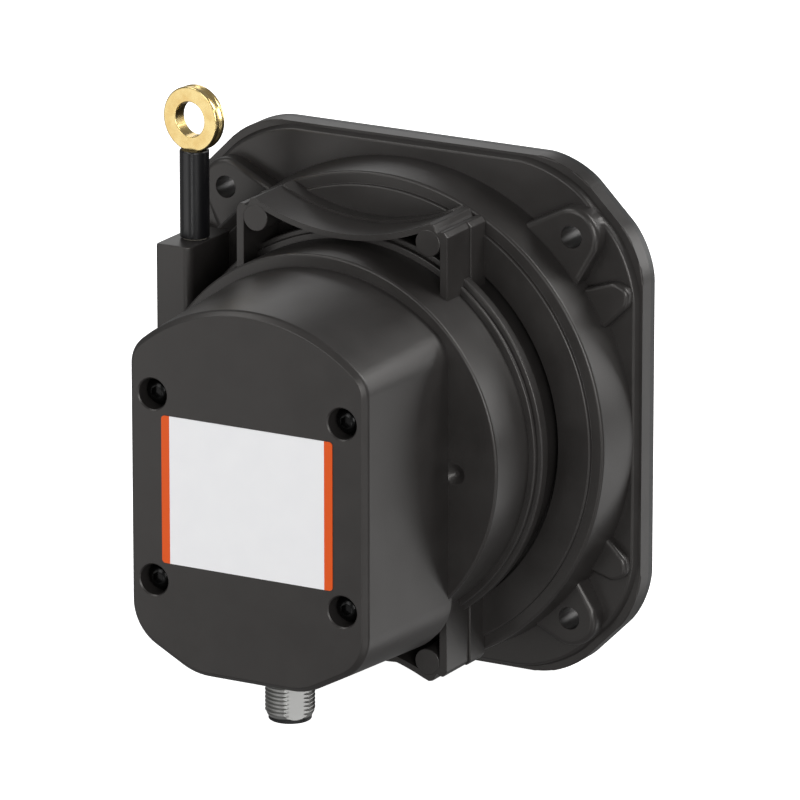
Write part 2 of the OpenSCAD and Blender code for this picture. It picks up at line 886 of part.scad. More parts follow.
module circuit_board() {
    color("#1f5a38")
        difference() {
            translate([-board_half_w, -board_depth - board_t, board_bottom])
                cube([2 * board_half_w, board_t, board_top - board_bottom]);
            standoff_places()
                rod(0, 0, board_depth - past, board_depth + board_t + past, board_tap_r + 0.2);
        }
}

module board_screws() {
    color("#a8abad")
        standoff_places() {
            rod(0, 0, board_depth - board_screw_len, board_depth + board_t, board_tap_r);
            rod(0, 0, board_depth + board_t, board_depth + board_t + 1.6, board_tap_r + 1.1);
        }
}

module sensor_chip() {
    color("#202123")
        translate([-chip_w / 2, -board_depth, drum_z - chip_w / 2])
            cube([chip_w, 1, chip_w]);
}

module board_parts() {
    near = board_depth + board_t;
    color("#2a2b2e") {
        translate([-processor_w / 2, -near - 1.4, 4])
            cube([processor_w, 1.4, processor_w]);
        translate([-chip_w, -near - 1.8, -20])
            cube([2 * chip_w, 1.8, chip_w]);
        for (x = [-11, 11])
            rod(x, -10, near, near + can_len, can_r);
        translate([-header_w / 2, -near - header_t, board_bottom + 1])
            cube([header_w, header_t, 4]);
    }
}

// ---- encoder cover ----

module encoder_cover() {
    color("#4b4a49")
        difference() {
            cover_skin([[cover_depth, -cover_chamfer], [cover_edge, 0], [bowl_depth, cover_draft]]);
            difference() {
                cover_skin([[cover_depth - cover_wall, -cover_wall],
                    [bowl_depth - past, cover_draft + past * cover_slope - cover_wall]]);
                cover_screw_places()
                    rod(0, 0, seat_boss_depth, cover_depth, post_r);
            }
            slab(bowl_depth - past, bowl_depth + gasket_t)
                difference() {
                    polygon(cover_points(cover_draft - gasket_inset));
                    polygon(cover_points(cover_draft - gasket_inset - gasket_w));
                }
            cover_screw_places() {
                rod(0, 0, head_seat, cover_depth + past, counterbore_r);
                rod(0, 0, bowl_depth, head_seat + past, screw_r + 0.3);
            }
            translate([0, -plug_depth, plug_wall_z - 5])
                cylinder(h = cover_wall + 10, r = plug_r + 0.1, $fn = 64);
            translate([0, -plug_depth, plug_seat])
                cylinder(h = 8, r = plug_flange_r + 0.3, $fn = 64);
        }
}

module cover_gasket() {
    color("#1b1b1c")
        slab(bowl_depth, bowl_depth + gasket_t - 0.05)
            difference() {
                polygon(cover_points(cover_draft - gasket_inset - 0.05));
                polygon(cover_points(cover_draft + 0.05 - gasket_inset - gasket_w));
            }
}

module cover_screws() {
    color("#3a3b3d")
        cover_screw_places() {
            rod(0, 0, bowl_depth + 0.4, head_seat + 0.2, screw_r);
            difference() {
                rod(0, 0, head_seat, head_seat + head_t, head_r);
                translate([0, -head_seat - 1.4, 0])
                    rotate([90, 0, 0])
                        cylinder(h = 2, r = 1.5, $fn = 6);
            }
        }
}

module label_plate() {
    color("#ededee")
        translate([0, 0, label_z])
            slab(cover_depth, cover_depth + label_t)
                softened(0.9)
                    square([label_w, label_h], center = true);
}

// ---- connector ----

module plug_turned() {
    translate([0, -plug_depth, 0])
        rotate_extrude($fn = 64)
            children();
}

module connector_shell() {
    seat = plug_seat + plug_seal_t;
    color("#c3c6c8")
        plug_turned()
            polygon([[plug_bore_r, plug_end], [plug_r - 0.8, plug_end], [plug_r, plug_end + plug_tip],
                [plug_r, plug_wall_z - plug_groove], [plug_r - 0.5, plug_wall_z - plug_groove],
                [plug_r - 0.5, plug_wall_z], [plug_r, plug_wall_z], [plug_r, seat],
                [plug_flange_r, seat], [plug_flange_r, seat + plug_flange_t],
                [plug_bore_r, seat + plug_flange_t]]);
}

module connector_seal() {
    color("#1b1b1c")
        plug_turned()
            translate([plug_r + 0.15, plug_seat + 0.02])
                square([plug_flange_r - plug_r - 0.3, plug_seal_t - 0.04]);
}

module contact_places() {
    for (i = [0:3])
        translate([contact_ring_r * cos(45 + 90 * i), -plug_depth + contact_ring_r * sin(45 + 90 * i), 0])
            children();
    translate([0, -plug_depth, 0])
        children();
}

module connector_insert() {
    top = plug_seat + plug_seal_t + plug_flange_t + 2;
    color("#1e1e20")
        difference() {
            translate([0, -plug_depth, plug_end + 7])
                cylinder(h = top - plug_end - 7, r = plug_bore_r - fit_gap, $fn = 64);
            contact_places()
                translate([0, 0, plug_end + 6])
                    cylinder(h = top - plug_end, r = contact_r + fit_gap, $fn = 24);
        }
}

module connector_contacts() {
    color("#d9b765")
        contact_places()
            translate([0, 0, plug_end + 1.5])
                cylinder(h = board_bottom - 1 - plug_end - 1.5, r = contact_r, $fn = 24);
}

back_plate();
plate_screws();
base_seal();
base_housing();
spring_cup();
mainspring();
bearing_outer(rear_race);  // rear_bearing_outer
bearing_inner(rear_race);  // rear_bearing_inner
bearing_balls(rear_race);  // rear_bearing_balls
drum_shaft();
spring_arbor();
wire_drum();
wire_winding();
drum_set_screw();
drum_cover();
drum_cover_screws();
bearing_outer(front_race);  // front_bearing_outer
bearing_inner(front_race);  // front_bearing_inner
bearing_balls(front_race);  // front_bearing_balls
shaft_circlip();
magnet_holder();
magnet();
wire_wiper();
wire_guide();
measuring_wire();
wire_crimp();
wire_sleeve();
eyelet();
circuit_board();
sensor_chip();
board_parts();
board_screws();
cover_gasket();
encoder_cover();
cover_screws();
label_plate();
connector_shell();
connector_insert();
connector_contacts();
connector_seal();
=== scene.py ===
# %% [markdown]
# # A draw wire encoder
# This instrument measures how far a machine part travels. The part pulls a thin steel wire
# out of the housing by its brass eyelet. The wire unwinds from a drum, and the encoder in
# the D-shaped cover counts the drum's turns. A spring behind the drum winds the wire back.
#
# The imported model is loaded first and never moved. It gives every solid its place: the
# mounting face is the plane Y = 0, the product stands out of it towards -Y, and +Z runs up
# along the wire. New pieces are made in that same frame, so nothing has to be fitted later.

# %% Load the frame
import json
import math

import bmesh
import bpy
from mathutils import Matrix, Vector


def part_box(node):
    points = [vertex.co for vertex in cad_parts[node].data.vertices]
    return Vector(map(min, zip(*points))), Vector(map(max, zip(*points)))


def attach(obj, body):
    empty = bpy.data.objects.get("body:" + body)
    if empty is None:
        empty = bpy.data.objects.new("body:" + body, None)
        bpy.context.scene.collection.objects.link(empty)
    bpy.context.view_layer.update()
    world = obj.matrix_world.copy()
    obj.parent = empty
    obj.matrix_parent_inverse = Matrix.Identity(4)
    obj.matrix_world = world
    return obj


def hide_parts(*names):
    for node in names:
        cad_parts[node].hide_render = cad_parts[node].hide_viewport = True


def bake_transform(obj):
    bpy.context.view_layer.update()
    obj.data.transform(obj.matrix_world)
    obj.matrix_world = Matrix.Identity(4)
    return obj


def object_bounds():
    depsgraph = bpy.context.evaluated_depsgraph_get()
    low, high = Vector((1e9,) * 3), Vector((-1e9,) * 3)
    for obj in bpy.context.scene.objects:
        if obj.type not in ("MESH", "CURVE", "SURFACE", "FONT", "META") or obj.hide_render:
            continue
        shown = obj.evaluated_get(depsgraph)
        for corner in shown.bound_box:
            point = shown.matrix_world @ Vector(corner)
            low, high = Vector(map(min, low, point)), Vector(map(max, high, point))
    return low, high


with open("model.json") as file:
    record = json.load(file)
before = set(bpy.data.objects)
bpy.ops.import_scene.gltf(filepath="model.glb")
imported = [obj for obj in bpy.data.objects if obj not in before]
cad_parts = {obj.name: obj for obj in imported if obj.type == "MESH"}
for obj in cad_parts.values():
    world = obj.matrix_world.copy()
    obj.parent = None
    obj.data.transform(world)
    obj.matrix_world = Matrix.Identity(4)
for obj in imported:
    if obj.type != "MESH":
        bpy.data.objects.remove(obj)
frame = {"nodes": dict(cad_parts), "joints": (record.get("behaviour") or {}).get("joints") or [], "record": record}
cad_low, cad_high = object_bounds()
MM = 0.001  # one millimetre in Blender's metres
print("object in mm:", [round(v / MM, 1) for v in (cad_high - cad_low)])

# %% [markdown]
# ## Camera
# A product photographer stands well back and uses a long lens, so that parallel edges stay
# nearly parallel. The camera looks down a little from the front right. Its place follows
# from two angles, a distance and a small sideways shift that frames the object.

# %% Camera
AZIMUTH = math.radians(29.25)
ELEVATION = math.radians(16.38)
DISTANCE = 2046.58 * MM
right = Vector((math.cos(AZIMUTH), math.sin(AZIMUTH), 0))
back = Vector((math.sin(AZIMUTH) * math.cos(ELEVATION), -math.cos(AZIMUTH) * math.cos(ELEVATION),
               math.sin(ELEVATION)))
up = back.cross(right)
camera_data = bpy.data.cameras.new("camera")
camera_data.lens = 379.4
camera_data.sensor_width = 36
camera_data.clip_end = 50
camera = bpy.data.objects.new("camera", camera_data)
camera.location = back * DISTANCE - right * 5.28 * MM - up * 1.63 * MM - Vector((0, 0, 1.09 * MM))
camera.rotation_euler = Matrix((right, up, back)).transposed().to_euler()
bpy.context.scene.collection.objects.link(camera)
bpy.context.scene.camera = camera
print("camera at", [round(v, 3) for v in camera.location])

# %% [markdown]
# ## Colours and nodes
# A colour is written as the hex value that a screen shows. Blender calculates in linear
# light, so one function converts it. A second small function adds a shader node together
# with its settings and its links, which keeps each material short enough to read.


# %% Colour and node helpers
def colour(hex_value):
    """An sRGB hex colour as linear red, green, blue and alpha."""
    parts = [int(hex_value[i:i + 2], 16) / 255 for i in (1, 3, 5)]
    return [c / 12.92 if c <= 0.04045 else ((c + 0.055) / 1.055) ** 2.4 for c in parts] + [1]


def add_node(material, kind, settings, links=None):
    """Adds a node. Settings are its properties or socket values; links feed its inputs."""
    node = material.node_tree.nodes.new("ShaderNode" + kind)
    for name, value in settings.items():
        if isinstance(name, str) and hasattr(node, name):
            setattr(node, name, value)
        else:
            node.inputs[name].default_value = value
    for name, source in (links or {}).items():
        material.node_tree.links.new(source, node.inputs[name])
    return node


def new_material(name, **shader_values):
    """A material with a Principled shader and Object coordinates to put patterns on."""
    material = bpy.data.materials.new(name)
    material.use_nodes = True
    shader = material.node_tree.nodes["Principled BSDF"]
    for socket, value in shader_values.items():
        shader.inputs[socket.replace("_", " ")].default_value = value
    place = add_node(material, "TexCoord", {}).outputs["Object"]
    return material, shader, place


def feed(material, source, socket):
    """Links one node's output to another node's input."""
    material.node_tree.links.new(source, socket)


def add_ramp(material, factor, first, last, start=0.0, end=1.0):
    """Blends from one hex colour to another as a factor rises from start to end."""
    ramp = add_node(material, "ValToRGB", {}, {"Fac": factor})
    for element, tone, position in zip(ramp.color_ramp.elements, (first, last), (start, end)):
        element.color, element.position = colour(tone), position
    return ramp.outputs["Color"]


print("charcoal in linear light:", [round(c, 4) for c in colour("#232120")])

# %% [markdown]
# ## Moulded glass-filled nylon
# The housing, the drum cover and the encoder cover are moulded in charcoal nylon with glass
# fibres. The mould is spark-eroded, so the skin has a fine grain that spreads highlights into
# a soft sheen. The fibres near the skin leave faint cloudy patches. Noise textures on Object
# coordinates give both, and the grain's size comes straight from the real one.

# %% Moulded nylon
GRAIN = 0.4 * MM  # real spark-eroded grain is about 0.1 mm, drawn coarser so that it shows
CLOUD = 9 * MM  # patches where the fibres lie close to the skin


def moulded_nylon(name, dark, light, roughness, grain_height):
    """Grained nylon whose colour drifts between two close greys."""
    # The warm tint on every reflection is painted warm lamp light; the lamps themselves are white.
    material, shader, place = new_material(name, IOR=1.53, Specular_Tint=colour("#fcf9f6"))
    cloud = add_node(material, "TexNoise", {"Scale": 1 / CLOUD, "Detail": 3.0}, {"Vector": place})
    grain = add_node(material, "TexNoise", {"Scale": 1 / GRAIN, "Detail": 2.0, "Roughness": 0.6},
                     {"Vector": place})
    tone = add_ramp(material, cloud.outputs["Fac"], dark, light, 0.3, 0.7)
    sheen = add_node(material, "MapRange", {"To Min": roughness - 0.05, "To Max": roughness + 0.07},
                     {"Value": cloud.outputs["Fac"]})
    relief = add_node(material, "Bump", {"Strength": 0.5, "Distance": grain_height},
                      {"Height": grain.outputs["Fac"]})
    feed(material, tone, shader.inputs["Base Color"])
    feed(material, sheen.outputs["Result"], shader.inputs["Roughness"])
    feed(material, relief.outputs["Normal"], shader.inputs["Normal"])
    return material


nylon = moulded_nylon("glass_filled_nylon_spark_eroded", "#232120", "#292726", 0.36, 0.03 * MM)
cover_nylon = moulded_nylon("cover_nylon_spark_eroded", "#252322", "#2b2928", 0.38, 0.03 * MM)
print("nylon grain:", round(GRAIN / MM, 2), "mm")

# %% [markdown]
# ## Coated and plated steel
# The back plate is a stamped steel plate with a black powder coat, whose surface has the
# gentle waves called orange peel. The hidden screws are zinc plated. The cover's cap screws
# have a black phosphate coat and are drawn near black and dull. This is partly that coat and
# partly painted shade for the deep wells that they sit in. Metals keep Blender's default IOR,
# because their metallic value sets how they reflect. What tells them apart is their colour,
# their roughness and their fine relief.

# %% Coats and metals


def worn_metal(name, tone, roughness, grain_size, metallic=1.0, height=0.004 * MM, stretch=(1, 1, 1)):
    """A metal or coat with a fine relief that also varies its roughness."""
    material, shader, place = new_material(name, Metallic=metallic, Base_Color=colour(tone))
    turn = add_node(material, "Mapping", {"Scale": stretch}, {"Vector": place})
    relief = add_node(material, "TexNoise", {"Scale": 1 / grain_size, "Detail": 4.0},
                      {"Vector": turn.outputs["Vector"]})
    polish = add_node(material, "MapRange", {"To Min": roughness - 0.06, "To Max": roughness + 0.08},
                      {"Value": relief.outputs["Fac"]})
    bump = add_node(material, "Bump", {"Strength": 0.4, "Distance": height},
                    {"Height": relief.outputs["Fac"]})
    feed(material, polish.outputs["Result"], shader.inputs["Roughness"])
    feed(material, bump.outputs["Normal"], shader.inputs["Normal"])
    return material


powder_coat = worn_metal("black_powder_coated_steel", "#222222", 0.42, 1.1 * MM, metallic=0.0,
                         height=0.03 * MM)
zinc_plate = worn_metal("zinc_plated_steel", "#b9bdc2", 0.34, 1.4 * MM)
black_oxide = worn_metal("black_oxide_steel", "#3b3c3f", 0.36, 0.5 * MM)
# Near black: partly the real black coat, partly painted shade for the deep counterbores.
black_screw_painted_well_shade = worn_metal("phosphate_black_screw_painted_well_shade", "#030303", 0.24, 0.5 * MM, metallic=0.0)
painted_shade_screw_shader = black_screw_painted_well_shade.node_tree.nodes["Principled BSDF"]
painted_shade_screw_shader.inputs["Specular IOR Level"].default_value = 0.2  # kept dull, partly for the oiled phosphate and partly as painted shade in the deep wells
bearing_steel = worn_metal("ground_bearing_steel", "#c9ccd0", 0.18, 0.3 * MM, stretch=(1, 12, 1))
spring_steel = worn_metal("blued_spring_steel", "#5d6a7c", 0.3, 0.8 * MM)
gold_plate = worn_metal("gold_plated_contact", "#d9b24c", 0.2, 0.3 * MM)
nickel_plate = worn_metal("nickel_plated_brass", "#b6b6b4", 0.33, 1.5 * MM, height=0.002 * MM, stretch=(1, 1, 3))
rubber = worn_metal("nitrile_rubber", "#070708", 0.5, 0.5 * MM, metallic=0.0, height=0.02 * MM)
acetal = worn_metal("natural_acetal", "#d8d6cc", 0.4, 2 * MM, metallic=0.0, height=0.01 * MM)
ceramic = worn_metal("sintered_ceramic", "#e4dfd2", 0.25, 0.4 * MM, metallic=0.0)
chip_epoxy = worn_metal("chip_moulding_epoxy", "#1d1e20", 0.5, 0.2 * MM, metallic=0.0)
print("plain finishes:", len(bpy.data.materials))

# %% [markdown]
# ## Turned brass
# The eyelet is turned from brass and left bright. The lathe leaves fine rings round the
# hole, which pull each reflection into a fan. Rings follow from the distance to the eyelet's
# middle, so the pattern is centred there with a Mapping node, and its spacing is the tool's
# feed. Bare brass also tarnishes a little, which warms its colour in soft patches.

# %% Turned brass
eye_low, eye_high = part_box("eyelet")
EYE_R = 8.0  # outer radius of the ring in mm
eye_middle = Vector(((eye_low.x + eye_high.x) / 2, (eye_low.y + eye_high.y) / 2, eye_high.z - (EYE_R + 0.4) * MM))
TOOL_FEED = 0.25 * MM
ONE_WAVE = 0.31831  # scale at which a Wave texture's crests lie about one unit apart

brass, brass_shader, brass_place = new_material("turned_brass", Metallic=1.0, Roughness=0.2)
centred = add_node(brass, "Mapping", {"Location": -eye_middle}, {"Vector": brass_place})
rings = add_node(brass, "TexWave", {"wave_type": "RINGS", "rings_direction": "SPHERICAL",
                                    "Scale": ONE_WAVE / TOOL_FEED, "Distortion": 0.4},
                 {"Vector": centred.outputs["Vector"]})
tarnish = add_node(brass, "TexNoise", {"Scale": 1 / (3 * MM), "Detail": 3.0}, {"Vector": brass_place})
warmth = add_ramp(brass, tarnish.outputs["Fac"], "#e6c683", "#f2d998", 0.35, 0.6)
tool_marks = add_node(brass, "Bump", {"Strength": 0.06, "Distance": 0.004 * MM}, {"Height": rings.outputs["Fac"]})
feed(brass, warmth, brass_shader.inputs["Base Color"])
feed(brass, tool_marks.outputs["Normal"], brass_shader.inputs["Normal"])
print("eyelet middle in mm:", [round(v / MM, 2) for v in eye_middle])

# %% [markdown]
# ## Sleeve, wire, label and circuit board
# The sleeve is extruded black tubing with a gloss. The wire is laid up from thin strands, so
# its surface has slanting ribs: a wave whose phase depends on both the height and the angle
# draws them. The label is white film with a plain orange stripe down each side and nothing
# else on it. The circuit board is green laminate whose glass weave shows faintly.

# %% Sleeve and wire
tubing = worn_metal("extruded_black_tubing", "#0d0d0f", 0.28, 3 * MM, metallic=0.0, height=0.02 * MM,
                    stretch=(1, 1, 0.2))

LAY = 1.2 * MM  # height in which three strands pass
strands, strands_shader, strands_place = new_material("stranded_steel_wire", Metallic=1.0, Roughness=0.3,
                                                      Base_Color=colour("#a9adb1"))
slant = add_node(strands, "Mapping", {"Rotation": (0.0, 0.9, 0.0)}, {"Vector": strands_place})
ribs = add_node(strands, "TexWave", {"bands_direction": "X", "Scale": ONE_WAVE * math.pi / LAY},
                {"Vector": slant.outputs["Vector"]})
twist = add_node(strands, "Bump", {"Strength": 0.8, "Distance": 0.08 * MM}, {"Height": ribs.outputs["Fac"]})
feed(strands, twist.outputs["Normal"], strands_shader.inputs["Normal"])
print("three strands in:", round(LAY / MM, 2), "mm")

# %% Label film
label_low, label_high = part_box("label_plate")
STRIPE = 2.2 * MM
label, label_shader, label_place = new_material("printed_polyester_film", Roughness=0.38, IOR=1.5,
                                                Specular_IOR_Level=0.25)
label_axes = add_node(label, "SeparateXYZ", {}, {"Vector": label_place})
offset = add_node(label, "Math", {"operation": "ABSOLUTE"}, {0: label_axes.outputs["X"]})
in_stripe = add_node(label, "Math", {"operation": "GREATER_THAN", 1: label_high.x - STRIPE},
                     {0: offset.outputs["Value"]})
paper = add_node(label, "TexNoise", {"Scale": 1 / (6 * MM), "Detail": 2.0}, {"Vector": label_place})
white = add_ramp(label, paper.outputs["Fac"], "#e6e6e8", "#ebebec")
print_colour = add_node(label, "MixRGB", {"Color2": colour("#da5519")},
                        {"Fac": in_stripe.outputs["Value"], "Color1": white})
feed(label, print_colour.outputs["Color"], label_shader.inputs["Base Color"])
print("label in mm:", round((label_high.x - label_low.x) / MM, 1), "x", round((label_high.z - label_low.z) / MM, 1))

# %% Board laminate
laminate, laminate_shader, laminate_place = new_material("glass_epoxy_laminate", Roughness=0.32,
                                                         Base_Color=colour("#1f5636"))
WEAVE = 0.8 * MM  # spacing of the glass bundles
weave = [add_node(laminate, "TexWave", {"bands_direction": way, "Scale": 1 / WEAVE}, {"Vector": laminate_place})
         for way in ("X", "Z")]
crossed = add_node(laminate, "Math", {"operation": "MAXIMUM"},
                   {0: weave[0].outputs["Fac"], 1: weave[1].outputs["Fac"]})
cloth = add_node(laminate, "Bump", {"Strength": 0.3, "Distance": 0.03 * MM}, {"Height": crossed.outputs["Value"]})
feed(laminate, cloth.outputs["Normal"], laminate_shader.inputs["Normal"])

# %% [markdown]
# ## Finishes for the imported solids
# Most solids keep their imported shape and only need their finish. One table says which solid
# is made of what, and a loop puts the material into every slot of each solid.

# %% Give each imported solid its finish
finishes = {
    zinc_plate: ["plate_screws", "drum_cover_screws", "board_screws", "spring_cup"],
    black_oxide: ["drum_set_screw", "shaft_circlip"],
    bearing_steel: ["rear_bearing_outer", "rear_bearing_inner", "rear_bearing_balls", "drum_shaft",
                    "front_bearing_outer", "front_bearing_inner", "front_bearing_balls", "spring_arbor",
                    "magnet", "wire_crimp"],
    spring_steel: ["mainspring"],
    strands: ["wire_winding", "measuring_wire"],
    acetal: ["wire_drum", "magnet_holder"],
    ceramic: ["wire_guide"],
    rubber: ["base_seal", "cover_gasket", "connector_seal", "wire_wiper", "connector_insert"],
    gold_plate: ["connector_contacts"],
    nickel_plate: ["connector_shell"],
    tubing: ["wire_sleeve"],
    brass: ["eyelet"],
    laminate: ["circuit_board"],
    chip_epoxy: ["sensor_chip", "board_parts"],
    label: ["label_plate"],
    nylon: ["base_housing", "drum_cover"],
    cover_nylon: ["encoder_cover"],
}
for finish, names in finishes.items():
    for name in names:
        slots = frame["nodes"][name].data.materials
        for i in range(len(slots)):
            slots[i] = finish
print("solids with a finish:", sum(len(names) for names in finishes.values()))

# %% [markdown]
# ## Tools for moulded pieces
# The moulded pieces are worked in millimetres and scaled to metres at the end. Each starts
# as a flat outline that is pushed forward, or as a profile that is spun about an axis. Edges
# are rounded while the shapes are still simple. Closed solids are then joined and cut with
# the exact Boolean, which leaves a crisp crease where two walls meet, as in a real mould.
# Depth means the distance in front of the mounting face, so it is measured along -Y.
#
# The exact Boolean can still lose a whole part where faces nearly coincide. So joined solids
# sink into each other by clear steps and never share a plane or a round wall, and each seam
# is welded before the next step.

# %% Outline and spin tools
drum_joint = next(j for j in frame["joints"] if j["name"] == "drum_spin")
DRUM_Z = drum_joint["pos_m"][2] / MM
SMOOTH = 3  # faces across a rounded edge


def soften(mesh, corner, radius, segments=6):
    """Rounds one corner of a flat outline to a radius."""
    sides = [edge.other_vert(corner).co - corner.co for edge in corner.link_edges]
    reach = radius / math.tan(sides[0].angle(sides[1]) / 2)
    bmesh.ops.bevel(mesh, geom=[corner], offset=reach, offset_type="OFFSET", segments=segments,
                    profile=0.5, affect="VERTICES", material=-1)


def outline(mesh, corners, depth, radii=()):
    """A flat face from (x, z) corners at a depth, with its corners rounded to the radii given."""
    verts = [mesh.verts.new((x, -depth, z)) for x, z in corners]
    face = mesh.faces.new(verts)
    for vert, radius in zip(verts, radii):
        if radius:
            soften(mesh, vert, radius, max(6, int(radius)))
    return [f for f in mesh.faces if f.is_valid][-1] if radii else face


def push_forward(mesh, face, depth):
    """Pushes a flat face forward into a closed solid and returns its front face."""
    moved = bmesh.ops.extrude_face_region(mesh, geom=[face])["geom"]
    for vert in [v for v in moved if isinstance(v, bmesh.types.BMVert)]:
        vert.co.y = -depth
    return [f for f in moved if isinstance(f, bmesh.types.BMFace)][0]


def round_edges(mesh, depth, radius, keep=lambda edge: True, segments=SMOOTH):
    """Rounds the edges that lie at one depth."""
    edges = [e for e in mesh.edges if all(abs(v.co.y + depth) < 1e-4 for v in e.verts) and keep(e)]
    bmesh.ops.bevel(mesh, geom=edges, offset=radius, offset_type="OFFSET", segments=segments,
                    profile=0.5, affect="EDGES", clamp_overlap=True, material=-1)


def revolve(mesh, verts, radii, centre, axis, steps):
    """Rounds a profile's corners and spins it about an axis that shares its plane with X."""
    mesh.faces.new(verts)
    for vert, radius in zip(verts, radii):
        if radius:
            soften(mesh, vert, radius, 4)
    across = axis.cross(Vector((1, 0, 0)))
    faces = [f for f in mesh.faces if all(abs((v.co - centre).dot(across)) < 1e-4 for v in f.verts)]
    edges = [e for f in faces for e in f.edges]
    corners = list(dict.fromkeys(v for e in edges for v in e.verts))  # each one once, in a fixed order
    bmesh.ops.delete(mesh, geom=faces, context="FACES_ONLY")
    bmesh.ops.spin(mesh, geom=edges + corners, cent=centre, axis=axis, angle=math.tau, steps=steps, use_merge=True)
    bmesh.ops.remove_doubles(mesh, verts=mesh.verts, dist=1e-5)
    bmesh.ops.delete(mesh, geom=[e for e in mesh.edges if not e.link_faces], context="EDGES")


def spun(mesh, profile, radii=(), centre=(0, DRUM_Z), steps=144):
    """A solid of revolution from a closed (radius, depth) profile about an axis along depth."""
    x, z = centre
    verts = [mesh.verts.new((x + r, -depth, z)) for r, depth in profile]
    revolve(mesh, verts, radii, Vector((x, 0, z)), Vector((0, 1, 0)), steps)


def spun_upright(mesh, profile, radii=(), centre=(0, 0), steps=48):
    """A solid of revolution from a closed (radius, z) profile about an upright (x, depth) axis."""
    x, depth = centre
    verts = [mesh.verts.new((x + r, -depth, z)) for r, z in profile]
    revolve(mesh, verts, radii, Vector((x, -depth, 0)), Vector((0, 0, 1)), steps)


def mirror_solids(mesh, axes="XZ"):
    """Adds a mirror image of what is in the mesh, left to right and then top to bottom."""
    for axis in axes:
        bmesh.ops.mirror(mesh, geom=mesh.verts[:] + mesh.edges[:] + mesh.faces[:], merge_dist=-1, axis=axis)


# %% Solid, joining and finishing tools
def solid(name, mesh):
    """Turns a bmesh into an object whose faces point outwards."""
    bmesh.ops.recalc_face_normals(mesh, faces=mesh.faces)
    data = bpy.data.meshes.new(name)
    mesh.to_mesh(data)
    mesh.free()
    piece = bpy.data.objects.new(name, data)
    bpy.context.scene.collection.objects.link(piece)
    return piece


def combine(piece, tool, operation):
    """Joins, cuts or trims a piece with another closed solid, which is used up, and welds the seams."""
    step = piece.modifiers.new("combine", "BOOLEAN")
    step.object, step.operation, step.solver = tool, operation, "EXACT"
    shaped = bpy.data.meshes.new_from_object(piece.evaluated_get(bpy.context.evaluated_depsgraph_get()))
    piece.modifiers.remove(step)
    seam = bmesh.new()
    seam.from_mesh(shaped)
    bmesh.ops.remove_doubles(seam, verts=seam.verts, dist=1e-4)
    seam.to_mesh(shaped)
    seam.free()
    piece.data, shaped.name = shaped, piece.name
    bpy.data.objects.remove(tool)


def finish_piece(piece, material, body, *nodes):
    """Scales a piece to metres, smooths its curves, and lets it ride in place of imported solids."""
    mesh = bmesh.new()
    mesh.from_mesh(piece.data)
    bmesh.ops.remove_doubles(mesh, verts=mesh.verts, dist=1e-4)
    bmesh.ops.scale(mesh, verts=mesh.verts, vec=(MM, MM, MM))
    open_edges = sum(len(edge.link_faces) != 2 for edge in mesh.edges)  # none in a closed solid
    mesh.to_mesh(piece.data)
    mesh.free()
    piece.data.materials.clear()
    piece.data.materials.append(material)
    piece.data.shade_smooth()
    piece.data.set_sharp_from_angle(angle=math.radians(38))
    flat = piece.modifiers.new("flat faces stay flat", "WEIGHTED_NORMAL")
    flat.keep_sharp = True
    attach(piece, body)
    if nodes:
        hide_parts(*nodes)
    print(piece.name, "faces:", len(piece.data.polygons), "open edges:", open_edges,
          "size in mm:", [round(v / MM, 1) for v in piece.dimensions])


# %% [markdown]
# ## Housing moulding
# The housing is one moulding: a square flange with cut corners, a round wall for the spring,
# four ears that carry the mounting holes and four lobes for the back plate's screws. The
# flange is an eight-cornered outline pushed forward. Its floor is a second outline with
# rounder corners, and an even inset slopes the step up to it. The wall is spun from its
# profile, and the ears and lobes are made once and mirrored into place.

# %% Flange
plate_low, plate_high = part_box("back_plate")
HALF_W, HALF_H = plate_high.x / MM, plate_high.z / MM
CORNER_CUT, CORNER_ROUND = 20.3, 20
PLATE, EDGE, FLOOR = 2.0, 6.2, 8.0  # depths of the plate's face, the flange's edge and its floor
FLOOR_ROUND = 27  # the floor's corners are rounder than the edge's


def eight_corners(w, h, cut):
    """The corners of a rectangle of half sizes w and h whose own corners are cut off."""
    quarter = [(w, h - cut), (w - cut, h)]
    half = quarter + [(-x, z) for x, z in reversed(quarter)]
    return half + [(x, -z) for x, z in reversed(half)]


flange_mesh = bmesh.new()
foot = outline(flange_mesh, eight_corners(HALF_W, HALF_H, CORNER_CUT), PLATE, [CORNER_ROUND] * 8)
push_forward(flange_mesh, foot, EDGE)
round_edges(flange_mesh, EDGE, 0.45)
housing = solid("housing_moulding", flange_mesh)

floor_mesh = bmesh.new()
step_outline = outline(floor_mesh, eight_corners(HALF_W - 0.6, HALF_H - 0.6, CORNER_CUT + 1.2), PLATE + 1,
                       [FLOOR_ROUND] * 8)
step = push_forward(floor_mesh, step_outline, EDGE)
bmesh.ops.recalc_face_normals(floor_mesh, faces=floor_mesh.faces)
bmesh.ops.inset_region(floor_mesh, faces=[step], thickness=0.8, depth=FLOOR - EDGE, use_even_offset=True)
round_edges(floor_mesh, FLOOR, 0.5)
combine(housing, solid("floor_step", floor_mesh), "UNION")
print("flange faces:", len(housing.data.polygons))

# %% Spring housing wall
WALL_R, RIM_R, RIM_IN, RIM, FACE = 62.1, 61.2, 58.2, 21.5, 21.4
DISC = 22.4  # depth of the raised disc inside the rim
wall_mesh = bmesh.new()
spun(wall_mesh, [(0, 3), (WALL_R, 3), (WALL_R, FLOOR), (RIM_R, RIM), (RIM_IN, RIM), (RIM_IN - 0.1, DISC), (0, DISC)],
     [0, 0, 0, 0.8, 0.1, 0.5])
combine(housing, solid("wall", wall_mesh), "UNION")

